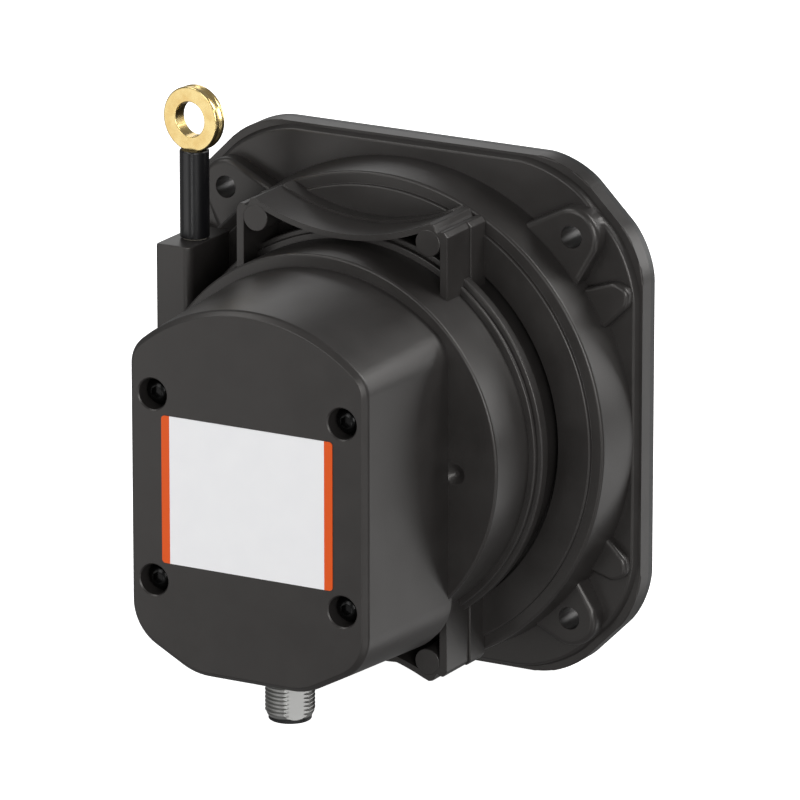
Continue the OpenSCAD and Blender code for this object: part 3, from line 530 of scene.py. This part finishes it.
# %% Ears and lobes
PITCH = 95  # side of the square of mounting holes
EAR, LOBE = 12.5, 10.6
h = PITCH / 2
ear_mesh = bmesh.new()
ear = outline(ear_mesh, [(h - 13, h + 1.5), (h + 1.3, h + 8.6), (h + 8.6, h + 1.3), (h + 2.1, h - 10.7),
                         (h - 1, h - 15.5), (h - 10, h - 16)], FLOOR - 1, [0, 6.5, 6.5, 5])
push_forward(ear_mesh, ear, EAR)
round_edges(ear_mesh, EAR, 1.5, segments=5)
mirror_solids(ear_mesh)
combine(housing, solid("ears", ear_mesh), "UNION")

lobe_x, lobe_z = 55.5, 31.0
lobe_mesh = bmesh.new()
lobe = outline(lobe_mesh, [(lobe_x - 9.5, lobe_z + 2.5), (lobe_x + 2.5, lobe_z + 6.3), (lobe_x + 6.4, lobe_z + 4.6),
                           (lobe_x + 6, lobe_z + 0.5), (lobe_x - 1.5, lobe_z - 7), (lobe_x - 9.5, lobe_z - 8)],
               FLOOR - 1, [0, 3.2, 2.4, 3.2])
push_forward(lobe_mesh, lobe, LOBE)
round_edges(lobe_mesh, LOBE, 1.1, segments=4)
mirror_solids(lobe_mesh)
combine(housing, solid("lobes", lobe_mesh), "UNION")

# %% Chamber and holes
HOLE_R, OPENING_R, CHAMBER_R = 2.75, 49.6, 58.6
CHAMBER, DRUM_FLOOR, SHAFT_R = 16.4, 19.4, 6  # depths of the spring's room and the drum's floor
chamber_mesh = bmesh.new()
spun(chamber_mesh, [(0, 1), (CHAMBER_R, 1), (CHAMBER_R, CHAMBER), (SHAFT_R, CHAMBER), (SHAFT_R, DRUM_FLOOR),
                    (OPENING_R, DRUM_FLOOR), (OPENING_R, DISC + 1), (0, DISC + 1)])
combine(housing, solid("chamber", chamber_mesh), "DIFFERENCE")
bore_mesh = bmesh.new()
spun(bore_mesh, [(0, 1), (HOLE_R, 1), (HOLE_R, EAR - 0.1), (HOLE_R + 0.1, EAR + 0.1), (HOLE_R + 0.1, EAR + 1),
                 (0, EAR + 1)], centre=(h, h), steps=48)
mirror_solids(bore_mesh)
combine(housing, solid("mounting_bores", bore_mesh), "DIFFERENCE")
finish_piece(housing, nylon, "housing", "base_housing")

# %% [markdown]
# ## Back plate
# The plate behind the housing is cut from sheet and powder coated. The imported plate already
# has every hole, so a copy of it is welded. Its edge is trimmed back, and a rim that follows
# the housing's softer outline is joined on.

# %% Back plate
plate_mesh = bmesh.new()
plate_mesh.from_mesh(frame["nodes"]["back_plate"].data)
bmesh.ops.scale(plate_mesh, verts=plate_mesh.verts, vec=(1 / MM, 1 / MM, 1 / MM))
bmesh.ops.remove_doubles(plate_mesh, verts=plate_mesh.verts, dist=1e-4)
bmesh.ops.dissolve_limit(plate_mesh, angle_limit=math.radians(0.3), verts=plate_mesh.verts, edges=plate_mesh.edges)
back_plate = solid("back_plate_sheet", plate_mesh)
trim_mesh = bmesh.new()
push_forward(trim_mesh, outline(trim_mesh, eight_corners(HALF_W - 1.5, HALF_H - 1.5, CORNER_CUT), -1,
                                [CORNER_ROUND - 1] * 8), 40)
combine(back_plate, solid("trim", trim_mesh), "INTERSECT")
rim_mesh, inside_mesh = bmesh.new(), bmesh.new()
push_forward(rim_mesh, outline(rim_mesh, eight_corners(HALF_W, HALF_H, CORNER_CUT), 0.01, [CORNER_ROUND] * 8),
             PLATE - 0.01)
push_forward(inside_mesh, outline(inside_mesh, eight_corners(HALF_W - 3, HALF_H - 3, CORNER_CUT), -1,
                                  [CORNER_ROUND - 2] * 8), PLATE + 1)
rim = solid("plate_rim", rim_mesh)
combine(rim, solid("inside", inside_mesh), "DIFFERENCE")
combine(back_plate, rim, "UNION")
finish_piece(back_plate, powder_coat, "housing", "back_plate")

# %% [markdown]
# ## Drum cover moulding
# The drum cover carries the rest. Its bowl is a thin-walled spin with two clamping ribs round
# its foot. Above and below it stand two frames, which brace the screw bosses: each is a pair
# of side plates with an arched web between them. The block on the left guides the wire out.
# A frame's outline is drawn for its right half only. One vertex swept about the arch's centre
# makes the arc, the half is mirrored, and the closed outline is pushed forward.

# %% Bowl
BOWL_R, BOWL_IN, BOWL = 47.4, 46.0, 48.7
FOOT_R, RIB_R, RIB = 47.9, 50.2, 28.4
bowl_mesh = bmesh.new()
spun(bowl_mesh, [(BOWL_IN, 19.4), (FOOT_R, 19.4), (FOOT_R, RIB - 0.2), (RIB_R, RIB), (RIB_R, RIB + 2.9),
                 (RIB_R - 1.7, RIB + 3.1), (RIB_R - 1.7, RIB + 3.4), (RIB_R - 1.2, RIB + 3.5),
                 (RIB_R - 1.2, RIB + 4.5), (BOWL_R, RIB + 4.6), (BOWL_R, BOWL),
                 (11, BOWL), (11, BOWL - 2.5), (BOWL_IN, BOWL - 2.5)],
     [0, 0, 0, 0.5, 0.45, 0, 0, 0.2, 0.4, 0, 0.7, 0, 0, 0])
drum_cover = solid("drum_cover_moulding", bowl_mesh)
print("bowl faces:", len(drum_cover.data.polygons))


# %% Arcs
def sweep(mesh, start, centre, degrees, steps):
    """Sweeps one vertex about an (x, z) centre into an arc and returns its last vertex."""
    swept = bmesh.ops.spin(mesh, geom=[start], cent=(centre[0], start.co.y, centre[1]), axis=(0, -1, 0),
                           angle=math.radians(degrees), steps=steps)["geom_last"]
    return next(v for v in swept if isinstance(v, bmesh.types.BMVert))


def chain(mesh, start, corners):
    """Adds straight edges from a vertex through (x, z) corners at its depth."""
    verts = [start]
    for x, z in corners:
        verts.append(mesh.verts.new((x, start.co.y, z)))
        mesh.edges.new(verts[-2:])
    return verts[1:]


def fill_half(mesh):
    """Mirrors a half outline to the left, welds it on the middle line and fills it."""
    bmesh.ops.mirror(mesh, geom=mesh.verts[:] + mesh.edges[:], merge_dist=1e-4, axis="X")
    return bmesh.ops.contextual_create(mesh, geom=mesh.edges[:])["faces"][0]


# %% Frames
FRAME_Z = -2.7  # height of the middle between the two frames
BOSS_X, BOSS_Z, BOSS_R, FRAME = 23.5, 51.9, 3.3, 39.4
SUNK = 0.15  # each solid starts this much deeper than the one before it
LEG = 21.5  # length of a frame's side plates below its bosses
FRAME_X, FRAME_T, WEB_T = 28.8, 2.1, 1.4
tip_x, tip_z = BOSS_X + 0.3, BOSS_Z + 4.9
web_low = BOSS_Z - 0.7
WEB_R = (tip_x ** 2 + (tip_z - web_low) ** 2) / (2 * (tip_z - web_low))
web_centre = (0, web_low + WEB_R)
half_angle = math.degrees(math.asin(tip_x / WEB_R))
INNER = FRAME_X - FRAME_T
frame_mesh = bmesh.new()
dip = frame_mesh.verts.new((0, -FACE, web_low))
tip = sweep(frame_mesh, dip, web_centre, half_angle, 16)
ridges = {(25.0, BOSS_Z + 4.6): 0.5, (25.6, BOSS_Z + 3.3): 0.3, (26.2, BOSS_Z + 2.5): 0.3, (26.6, BOSS_Z + 3.1): 0.3,
          (27.8, BOSS_Z + 3.3): 0.7, (FRAME_X, BOSS_Z + 1.9): 0.8}  # corners of the tip's two ridges and their radii
edge_line = chain(frame_mesh, tip, list(ridges) + [
    (FRAME_X, BOSS_Z - LEG), (INNER, BOSS_Z - LEG), (INNER, BOSS_Z + 0.6), (23.4, tip_z - 1.75)])
under = frame_mesh.verts.new((0, -FACE, web_low - WEB_T))
under_end = sweep(frame_mesh, under, web_centre, math.degrees(math.asin(23.2 / (WEB_R + WEB_T))), 16)
frame_mesh.edges.new((edge_line[-1], under_end))
frame_face = fill_half(frame_mesh)
for vert in list(frame_face.verts):
    for (x, z), radius in ridges.items():
        if abs(abs(vert.co.x) - x) < 1e-3 and abs(vert.co.z - z) < 1e-3:
            soften(frame_mesh, vert, radius, 4)
            break
frame_face = max(frame_mesh.faces, key=lambda f: f.calc_area())
push_forward(frame_mesh, frame_face, FRAME)
round_edges(frame_mesh, FRAME, 0.3, segments=2)


def lower_copy(mesh):
    """Adds the same shape below, and centres the pair."""
    mirror_solids(mesh, "Z")
    bmesh.ops.translate(mesh, verts=mesh.verts, vec=(0, 0, FRAME_Z))


lower_copy(frame_mesh)
frames = solid("frames", frame_mesh)

boss_mesh = bmesh.new()
for side in (-1, 1):
    spun(boss_mesh, [(0, FACE + SUNK), (BOSS_R, FACE + SUNK), (BOSS_R, FRAME + 0.12), (0, FRAME + 0.12)],
         [0, 0, 0.25], centre=(side * BOSS_X, BOSS_Z), steps=48)
lower_copy(boss_mesh)
combine(frames, solid("bosses", boss_mesh), "UNION")

STEP, FRAME_FOOT = 26.6, 28.6  # depths at which the web and the side plates get thicker
foot_mesh = bmesh.new()
foot_x, foot_z = FRAME_X + 0.55, BOSS_Z - LEG + 1
foot = outline(foot_mesh, [(INNER + 0.2, foot_z), (foot_x, foot_z), (foot_x, BOSS_Z + 2), (28, BOSS_Z + 3.6),
                           (INNER + 0.2, BOSS_Z + 2.6)], FACE + 2 * SUNK, [0, 0, 0.8, 0.7])
push_forward(foot_mesh, foot, FRAME_FOOT)
round_edges(foot_mesh, FRAME_FOOT, 0.3, segments=2)
mirror_solids(foot_mesh, "X")
lower_copy(foot_mesh)
combine(frames, solid("frame_feet", foot_mesh), "UNION")

step_mesh = bmesh.new()
raised = step_mesh.verts.new((0, -FACE - 3 * SUNK, web_low + 0.6))
raised_end = sweep(step_mesh, raised, web_centre, half_angle - 0.3, 16)
inner_line = step_mesh.verts.new((0, -FACE - 3 * SUNK, web_low - 0.4))
inner_end = sweep(step_mesh, inner_line, web_centre, half_angle - 0.3, 16)
step_mesh.edges.new((raised_end, inner_end))
push_forward(step_mesh, fill_half(step_mesh), STEP)
round_edges(step_mesh, STEP, 0.35, segments=2)
lower_copy(step_mesh)
combine(frames, solid("web_steps", step_mesh), "UNION")

ROOM_R = (BOWL_R + BOWL_IN) / 2  # frames and block end in the middle of the bowl's wall


def drum_room(name):
    """The round space that the drum turns in."""
    mesh = bmesh.new()
    spun(mesh, [(0, 10), (ROOM_R, 10), (ROOM_R, 60), (0, 60)])
    return solid(name, mesh)


combine(frames, drum_room("room_in_frames"), "DIFFERENCE")
print("frames faces:", len(frames.data.polygons))

# %% Outlet block
outlet_low, outlet_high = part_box("wire_guide")
WIRE_X = (outlet_low.x + outlet_high.x) / 2 / MM
WIRE_DEPTH = -(outlet_low.y + outlet_high.y) / 2 / MM
BLOCK_TOP = outlet_high.z / MM
BLOCK_LEFT, BLOCK_RIGHT, BLOCK_LOW, BLOCK = WIRE_X - 5.7, WIRE_X + 4.1, -11, 40.7
block_mesh = bmesh.new()
block_foot = outline(block_mesh, [(BLOCK_LEFT, BLOCK_LOW), (BLOCK_RIGHT, BLOCK_LOW), (BLOCK_RIGHT, BLOCK_TOP),
                                  (BLOCK_LEFT, BLOCK_TOP)], FACE)
push_forward(block_mesh, block_foot, BLOCK)
upright_edges = [e for e in block_mesh.edges if all(abs(v.co.y + BLOCK) < 1e-4 for v in e.verts)
                 and abs(e.verts[0].co.x - e.verts[1].co.x) < 1e-4]
for corner_edge, radius in zip(sorted(upright_edges, key=lambda e: e.verts[0].co.x), (1.0, 2.1)):
    bmesh.ops.bevel(block_mesh, geom=[corner_edge], offset=radius, offset_type="OFFSET", segments=6, profile=0.5,
                    affect="EDGES", material=-1)
top_edges = [e for e in block_mesh.edges if all(abs(v.co.z - BLOCK_TOP) < 1e-4 for v in e.verts)
             and any(v.co.y < -FACE - 1 for v in e.verts)]
bmesh.ops.bevel(block_mesh, geom=top_edges, offset=0.5, offset_type="OFFSET", segments=2, profile=0.5,
                affect="EDGES", material=-1)
block = solid("outlet_block", block_mesh)
combine(block, drum_room("room_in_block"), "DIFFERENCE")
GUIDE_R, GUIDE_DEEP, TALL = 3.02, 10.55, 60
guide_room = bmesh.new()
bmesh.ops.create_cone(guide_room, cap_ends=True, segments=48, radius1=GUIDE_R, radius2=GUIDE_R, depth=TALL,
                      matrix=Matrix.Translation((WIRE_X, -WIRE_DEPTH, BLOCK_TOP - GUIDE_DEEP + TALL / 2)))
combine(block, solid("guide_room", guide_room), "DIFFERENCE")
print("block top in mm:", round(BLOCK_TOP, 2))

# %% [markdown]
# ## Cover outline
# The encoder cover and the seat that it stands on share one outline: an arched top, two
# rounded shoulders, straight sides, and slanted corners at the bottom. Swept arcs and straight
# edges draw the right half at any depth, grown by any amount, so that loops at different
# depths match vertex for vertex and can be bridged.

# %% The cover's outline
COVER_W, COVER_TOP, COVER_LOW, COVER = 32.15, 40.0, -51.4, 84.3
ARCH_R, CORNER_R, FLAT_W, SLANT_H = 45.5, 8.0, 15.1, 9.1
SIDE_BEND, FOOT_BEND = 12.0, 15.3  # radii at the two ends of the slanted corner
slant_turn = math.atan2(SLANT_H, COVER_W - FLAT_W) - math.pi / 2  # way that the slanted corner faces
slant_reach = math.cos(slant_turn) * FLAT_W + math.sin(slant_turn) * COVER_LOW


def cover_loop(mesh, depth, grow):
    """The cover's closed outline at a depth, moved outwards by grow. Returns its edges."""
    w, low, big = COVER_W + grow, COVER_LOW - grow, ARCH_R + grow
    bend, side_bend, foot_bend = CORNER_R + grow, SIDE_BEND + grow, FOOT_BEND + grow
    arch_z = COVER_TOP - ARCH_R
    side_x = w - bend
    shoulder_z = arch_z + math.sqrt((big - bend) ** 2 - side_x ** 2)
    shoulder_turn = math.atan2(shoulder_z - arch_z, side_x)
    reach, across, down = slant_reach + grow, math.cos(slant_turn), math.sin(slant_turn)
    side_z = (reach - side_bend - across * (w - side_bend)) / down
    foot_x = (reach - foot_bend - down * (low + foot_bend)) / across
    half = bmesh.new()
    crown = half.verts.new((0, -depth, COVER_TOP + grow))
    arch_end = sweep(half, crown, (0, arch_z), math.degrees(shoulder_turn) - 90, 20)
    shoulder = sweep(half, arch_end, (side_x, shoulder_z), -math.degrees(shoulder_turn), 10)
    side = chain(half, shoulder, [(w, side_z)])[0]
    bent = sweep(half, side, (w - side_bend, side_z), math.degrees(slant_turn), 10)
    slanted = chain(half, bent, [(foot_x + foot_bend * across, low + foot_bend + foot_bend * down)])[0]
    foot_end = sweep(half, slanted, (foot_x, low + foot_bend), -90 - math.degrees(slant_turn), 6)
    chain(half, foot_end, [(0, low)])
    bmesh.ops.mirror(half, geom=half.verts[:] + half.edges[:], merge_dist=1e-4, axis="X")
    data = bpy.data.meshes.new("cover_loop")
    half.to_mesh(data)
    half.free()
    before = set(mesh.edges)
    mesh.from_mesh(data)
    bpy.data.meshes.remove(data)
    return [e for e in mesh.edges if e not in before]


def cover_solid(name, levels, rounded=()):
    """A closed solid through the cover's outline at each (depth, grow) level, first level in front."""
    mesh = bmesh.new()
    loops = [cover_loop(mesh, depth, grow) for depth, grow in levels]
    for one, other in zip(loops, loops[1:]):
        bmesh.ops.bridge_loops(mesh, edges=one + other)
    for loop in (loops[0], loops[-1]):
        bmesh.ops.contextual_create(mesh, geom=loop)
    for depth, radius in rounded:
        round_edges(mesh, depth, radius)
    return solid(name, mesh)


SEAT = BOWL - 0.02  # just behind the bowl's front, which it must not share
seat = cover_solid("seat", [(SEAT, 1.8), (SEAT - 2.4, 1.8)], [(SEAT, 0.2)])
print("cover outline corners:", len(seat.data.vertices) // 2)

# %% Join the drum cover
combine(drum_cover, frames, "UNION")
combine(drum_cover, block, "UNION")
combine(drum_cover, seat, "UNION")
dimple_mesh = bmesh.new()
spun(dimple_mesh, [(0, BOWL - 1.3), (0.6, BOWL - 1.3), (2.4, BOWL - 0.1), (2.9, BOWL + 0.1), (0, BOWL + 1)],
     [0, 0.3, 0.4], centre=(36.1, DRUM_Z - 1.5), steps=40)
combine(drum_cover, solid("dimple", dimple_mesh), "DIFFERENCE")
finish_piece(drum_cover, nylon, "housing", "drum_cover")

# %% [markdown]
# ## Encoder cover
# The deep cover is bridged through outline loops: a chamfer in front, and sides that flare
# towards the back, so that it leaves its mould. A smaller solid of the same outline hollows
# it out. Four posts inside carry the screws, whose heads lie deep in round counterbores.

# %% Encoder cover
CHAMFER, DRAFT, WALL = 1.25, 2.1, 2.6
encoder_cover = cover_solid("encoder_cover_moulding", [(COVER, -CHAMFER), (COVER - CHAMFER, 0), (BOWL, DRAFT)],
                            [(COVER, 0.2), (COVER - CHAMFER, 0.5)])
combine(encoder_cover, cover_solid("cover_room", [(COVER - WALL, -WALL), (BOWL - 1, DRAFT - WALL)]), "DIFFERENCE")
SCREW_X, SCREW_Z, LABEL_Z = 51.3 / 2, 45.8 / 2, (label_low.z + label_high.z) / 2 / MM
COUNTERBORE_R, HEAD_SEAT = 3.8, 77.4


def at_screws(name, profile, radii=()):
    """The same spun solid at the four cover screws."""
    mesh = bmesh.new()
    for x in (-SCREW_X, SCREW_X):
        for z in (LABEL_Z - SCREW_Z, LABEL_Z + SCREW_Z):
            spun(mesh, profile, radii, centre=(x, z), steps=48)
    return solid(name, mesh)


combine(encoder_cover, at_screws("posts", [(0, 56.5), (5, 56.5), (5, COVER - 1), (0, COVER - 1)]), "UNION")
combine(encoder_cover, at_screws("counterbores", [(0, HEAD_SEAT), (COUNTERBORE_R, HEAD_SEAT),
                                                  (COUNTERBORE_R, COVER - 0.3), (COUNTERBORE_R + 0.35, COVER + 0.05),
                                                  (COUNTERBORE_R + 0.35, COVER + 1), (0, COVER + 1)]), "DIFFERENCE")
plug_low, plug_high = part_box("connector_shell")
PLUG_DEPTH = -(plug_low.y + plug_high.y) / 2 / MM
plug_room = bmesh.new()
bmesh.ops.create_cone(plug_room, cap_ends=True, segments=64, radius1=6.1, radius2=6.1, depth=12,
                      matrix=Matrix.Translation((0, -PLUG_DEPTH, COVER_LOW)))
combine(encoder_cover, solid("plug_room", plug_room), "DIFFERENCE")
finish_piece(encoder_cover, cover_nylon, "housing", "encoder_cover")

# %% [markdown]
# ## Cover screws
# Four cap screws hold the cover. Their domed heads lie low in the counterbores and are drawn
# near black and dull, partly from their black coat and partly as painted shade, so they look
# like dark wells with one small glint. Each head is spun and its hexagon socket is cut with a
# six-sided cone.

# %% Cover screws
HEAD_R, HEAD_TOP, HEX_R = 3.7, 82.6, 1.5
cover_screws = at_screws("cover_cap_screws", [(0, 62), (1.4, 62), (1.4, HEAD_SEAT), (HEAD_R, HEAD_SEAT),
                                              (HEAD_R, HEAD_TOP), (0, HEAD_TOP)], [0, 0, 0, 0.2, 3.3])
socket_mesh = bmesh.new()
for x in (-SCREW_X, SCREW_X):
    for z in (LABEL_Z - SCREW_Z, LABEL_Z + SCREW_Z):
        bmesh.ops.create_cone(socket_mesh, cap_ends=True, segments=6, radius1=HEX_R, radius2=HEX_R, depth=2.6,
                              matrix=Matrix.Translation((x, -HEAD_TOP, z)) @ Matrix.Rotation(math.pi / 2, 4, "X"))
combine(cover_screws, solid("hex_sockets", socket_mesh), "DIFFERENCE")
finish_piece(cover_screws, black_screw_painted_well_shade, "housing", "cover_screws")

# %% [markdown]
# ## Sleeve, eyelet and wire
# The wire ends in a brass eyelet, and a black sleeve stiffens the last stretch. Sleeve and
# ring are both spun: a spin about an upright axis for the sleeve, and about the hole's axis
# for the ring. The ring is then turned a little about the wire, as a free-hanging eyelet is.
# The wire itself crosses the joint. Here it is one straight cylinder of stranded steel that
# takes the imported wire's place, and it is not tied to either body.

# %% Sleeve
WIRE = (WIRE_X, WIRE_DEPTH)
sleeve_low, sleeve_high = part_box("wire_sleeve")
SLEEVE_R, SLEEVE_FOOT, SLEEVE_TOP = 3.6, sleeve_low.z / MM, sleeve_high.z / MM
SLEEVE_END = eye_middle.z / MM - EYE_R + 0.4  # the tubing is pushed on until it meets the ring
sleeve_mesh = bmesh.new()
spun_upright(sleeve_mesh, [(0.8, SLEEVE_FOOT), (SLEEVE_R, SLEEVE_FOOT), (SLEEVE_R, SLEEVE_END), (2.0, SLEEVE_END),
                           (2.0, SLEEVE_FOOT + 2), (0.8, SLEEVE_FOOT + 2)], [0, 0.3, 0.5, 0.2], WIRE, 64)
finish_piece(solid("sleeve_tubing", sleeve_mesh), tubing, "wire_end", "wire_sleeve")

# %% Eyelet
EYE_HOLE, EYE_T = 4.3, 3.6
hole_axis = next(m for m in frame["record"]["mounts"] if m["name"] == "eyelet_hole")["axis"]
EYE_TURN = math.atan2(hole_axis[0], -hole_axis[1])
ring_mesh = bmesh.new()
spun(ring_mesh, [(EYE_HOLE, -EYE_T / 2), (EYE_R, -EYE_T / 2), (EYE_R, -0.55), (EYE_R - 0.6, 0), (EYE_R, 0.55),
                 (EYE_R, EYE_T / 2), (EYE_HOLE, EYE_T / 2)], [0.25, 0.4, 0.15, 0.2, 0.15, 0.4, 0.25],
     centre=(0, 0), steps=96)
eyelet = solid("eyelet_ring", ring_mesh)
stem_mesh = bmesh.new()
spun_upright(stem_mesh, [(0, SLEEVE_TOP - 5.8 - eye_middle.z / MM), (1.4, SLEEVE_TOP - 5.8 - eye_middle.z / MM),
                         (1.4, -EYE_R + 1.2), (0, -EYE_R + 1.2)], [0, 0.2], (0, 0), 32)
combine(eyelet, solid("stem", stem_mesh), "UNION")
eye_place = Matrix.Translation((WIRE_X, -WIRE_DEPTH, eye_middle.z / MM))
eyelet.data.transform(eye_place @ Matrix.Rotation(EYE_TURN, 4, "Z"))
finish_piece(eyelet, brass, "wire_end", "eyelet")

# %% Wire
wire_low, wire_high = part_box("measuring_wire")
wire_mesh = bmesh.new()
bmesh.ops.create_cone(wire_mesh, cap_ends=True, segments=16, radius1=0.45, radius2=0.45,
                      depth=(wire_high.z - wire_low.z) / MM,
                      matrix=Matrix.Translation((WIRE_X, -WIRE_DEPTH, (wire_low.z + wire_high.z) / 2 / MM)))
bmesh.ops.scale(wire_mesh, verts=wire_mesh.verts, vec=(MM, MM, MM))
wire = solid("stranded_wire", wire_mesh)
wire.data.materials.append(strands)
wire.data.shade_smooth()
wire.data.set_sharp_from_angle(angle=math.radians(38))
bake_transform(wire)
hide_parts("measuring_wire")

# %% [markdown]
# ## Connector
# The cable plugs onto an M12 connector under the cover. Its thread has a pitch of 1 mm. A
# spin that also climbs is a screw: the closed profile of one tooth, spun through several
# turns while it rises one pitch a turn, leaves a helical ridge. The ridge is trimmed by a
# spun solid that narrows at the tip, as a lead-in that helps a nut to start, and then joined
# to a plain core. A black ring closes the end round the contacts.

# %% Threaded connector
PLUG_R, PITCH_M12, PLUG_END = 6.0, 1.0, plug_low.z / MM
ROOT_R, RING_H, LEAD = PLUG_R - 0.61, 0.8, 1.7
thread_low, thread_top = PLUG_END + RING_H, COVER_LOW - 0.9
TURN_STEPS = 48
connector_mesh = bmesh.new()
PLUG_IN, NUT_R, NUT_H, plug_top = 4.5, 8, 3, plug_high.z / MM
spun_upright(connector_mesh, [(PLUG_IN, thread_low), (ROOT_R - 0.35, thread_low), (ROOT_R, thread_low + 0.6),
                              (ROOT_R, COVER_LOW), (PLUG_R, COVER_LOW), (PLUG_R, plug_top - NUT_H),
                              (NUT_R, plug_top - NUT_H), (NUT_R, plug_top), (PLUG_IN, plug_top)],
             [0.1, 0.2], (0, PLUG_DEPTH), 64)
connector = solid("connector_thread", connector_mesh)
tooth_mesh = bmesh.new()
tooth = [tooth_mesh.verts.new((r, -PLUG_DEPTH, thread_low + z)) for r, z in
         [(ROOT_R - 0.15, -0.42), (PLUG_R, -0.09), (PLUG_R, 0.09), (ROOT_R - 0.15, 0.42)]]
tooth_face = tooth_mesh.faces.new(tooth)
turns = int((thread_top - thread_low) / PITCH_M12)
bmesh.ops.spin(tooth_mesh, geom=tooth_mesh.verts[:] + tooth_mesh.edges[:] + [tooth_face], cent=(0, -PLUG_DEPTH, 0),
               axis=(0, 0, 1), dvec=(0, 0, PITCH_M12 / TURN_STEPS), angle=math.tau * turns, steps=TURN_STEPS * turns)
bmesh.ops.triangulate(tooth_mesh, faces=tooth_mesh.faces)  # its four-sided faces are slightly twisted
ridge = solid("ridge", tooth_mesh)
lead_mesh = bmesh.new()
spun_upright(lead_mesh, [(0, thread_low + 0.1), (PLUG_R - 0.75, thread_low + 0.1), (PLUG_R + 0.05, thread_low + LEAD),
                         (PLUG_R + 0.05, COVER_LOW), (0, COVER_LOW)], (), (0, PLUG_DEPTH), 64)
combine(ridge, solid("lead_in", lead_mesh), "INTERSECT")
combine(connector, ridge, "UNION")
FLAT_TURN, FLAT_R = math.radians(47), 5.1  # a flat on one side lets the thread be gripped
flat_mesh = bmesh.new()
bmesh.ops.create_cube(flat_mesh, size=1, matrix=Matrix.Translation((0, -PLUG_DEPTH, thread_low + 5)) @
                      Matrix.Rotation(FLAT_TURN, 4, "Z") @ Matrix.Translation((0, -FLAT_R - 5, 0)) @
                      Matrix.Diagonal((12, 10, 20, 1)))
combine(connector, solid("flat", flat_mesh), "DIFFERENCE")
finish_piece(connector, nickel_plate, "housing", "connector_shell")
print("thread turns:", turns)

# %% End ring
end_mesh = bmesh.new()
spun_upright(end_mesh, [(4.0, PLUG_END), (PLUG_R - 0.8, PLUG_END), (PLUG_R - 0.8, thread_low + 0.05),
                        (4.0, thread_low + 0.05)], [0.1, 0.3], (0, PLUG_DEPTH), 64)
finish_piece(solid("connector_end_ring", end_mesh), rubber, "housing")


# %% [markdown]
# ## Floor and light
# Catalogue pictures are often taken on a translucent white table that is lit from below, so
# that the ground stays pure white and takes no shadow. The floor therefore shines by itself
# and is seen by the camera alone. A dim sky and soft lamps light the object: from the front
# on both sides, from the right and from behind, which draws thin bright lines along the
# rounded edges. Four weak lamps below stand for the light that comes up through the table,
# and a small card near the eyelet gives the brass something bright to reflect.

# %% Floor
floor_data = bpy.data.meshes.new("floor")
sheet = bmesh.new()
bmesh.ops.create_grid(sheet, x_segments=1, y_segments=1, size=12.0)
bmesh.ops.translate(sheet, verts=sheet.verts, vec=(0, 0, cad_low.z))
sheet.to_mesh(floor_data)
sheet.free()
floor = bpy.data.objects.new("floor", floor_data)
bpy.context.scene.collection.objects.link(floor)
opal, opal_shader, opal_place = new_material("opal_acrylic_table", Roughness=0.9, Emission_Strength=1.0)
frost = add_node(opal, "TexNoise", {"Scale": 400.0}, {"Vector": opal_place})
glow = add_ramp(opal, frost.outputs["Fac"], "#fcfcfc", "#ffffff")
for socket in ("Base Color", "Emission Color"):
    feed(opal, glow, opal_shader.inputs[socket])
floor_data.materials.append(opal)
floor.visible_diffuse = floor.visible_glossy = floor.visible_shadow = False

# %% Light
middle = (cad_low + cad_high) / 2


def softbox(name, azimuth, elevation, power, width=0.6, height=0.6, distance=1.5, target=middle):
    """An area light that faces a point from an azimuth and an elevation in degrees."""
    a, e = math.radians(azimuth), math.radians(elevation)
    away = Vector((math.sin(a) * math.cos(e), -math.cos(a) * math.cos(e), math.sin(e)))
    data = bpy.data.lights.new(name, "AREA")
    data.shape = "RECTANGLE"
    data.size, data.size_y, data.energy = width, height, power
    lamp = bpy.data.objects.new(name, data)
    lamp.location = target + away * distance
    lamp.rotation_euler = away.to_track_quat("Z", "Y").to_euler()
    lamp.visible_camera = False
    bpy.context.scene.collection.objects.link(lamp)


softbox("front_left", -14, 24, 4.5, height=0.7)
softbox("top_left", -56, 50, 3.6, width=0.5, height=0.5)
softbox("front_right", 42, 11, 11.0)
softbox("right", 126, 38, 11.0, height=0.7)
softbox("rear_right", 150, 8, 3.6)
softbox("rear_left", 212, 25, 1.2)
softbox("table_left", -26, -18, 0.5, height=0.5)
softbox("table_front", 8, -17, 1.4, width=0.12)
softbox("table_right", 72, -28, 1.8)
softbox("table_rear", 145, -22, 1.4)
softbox("brass_card", -41, -16, 0.115, width=0.21, height=0.2, distance=0.3, target=eye_middle)
world = bpy.data.worlds.new("studio")
world.use_nodes = True
world.node_tree.nodes["Background"].inputs["Color"].default_value = colour("#ffffff")
ray = add_node(world, "LightPath", {})
strength = add_node(world, "MapRange", {"To Min": 0.22, "To Max": 1.0}, {"Value": ray.outputs["Is Camera Ray"]})
feed(world, strength.outputs["Result"], world.node_tree.nodes["Background"].inputs["Strength"])
bpy.context.scene.world = world
bpy.context.scene.view_settings.view_transform = "Standard"
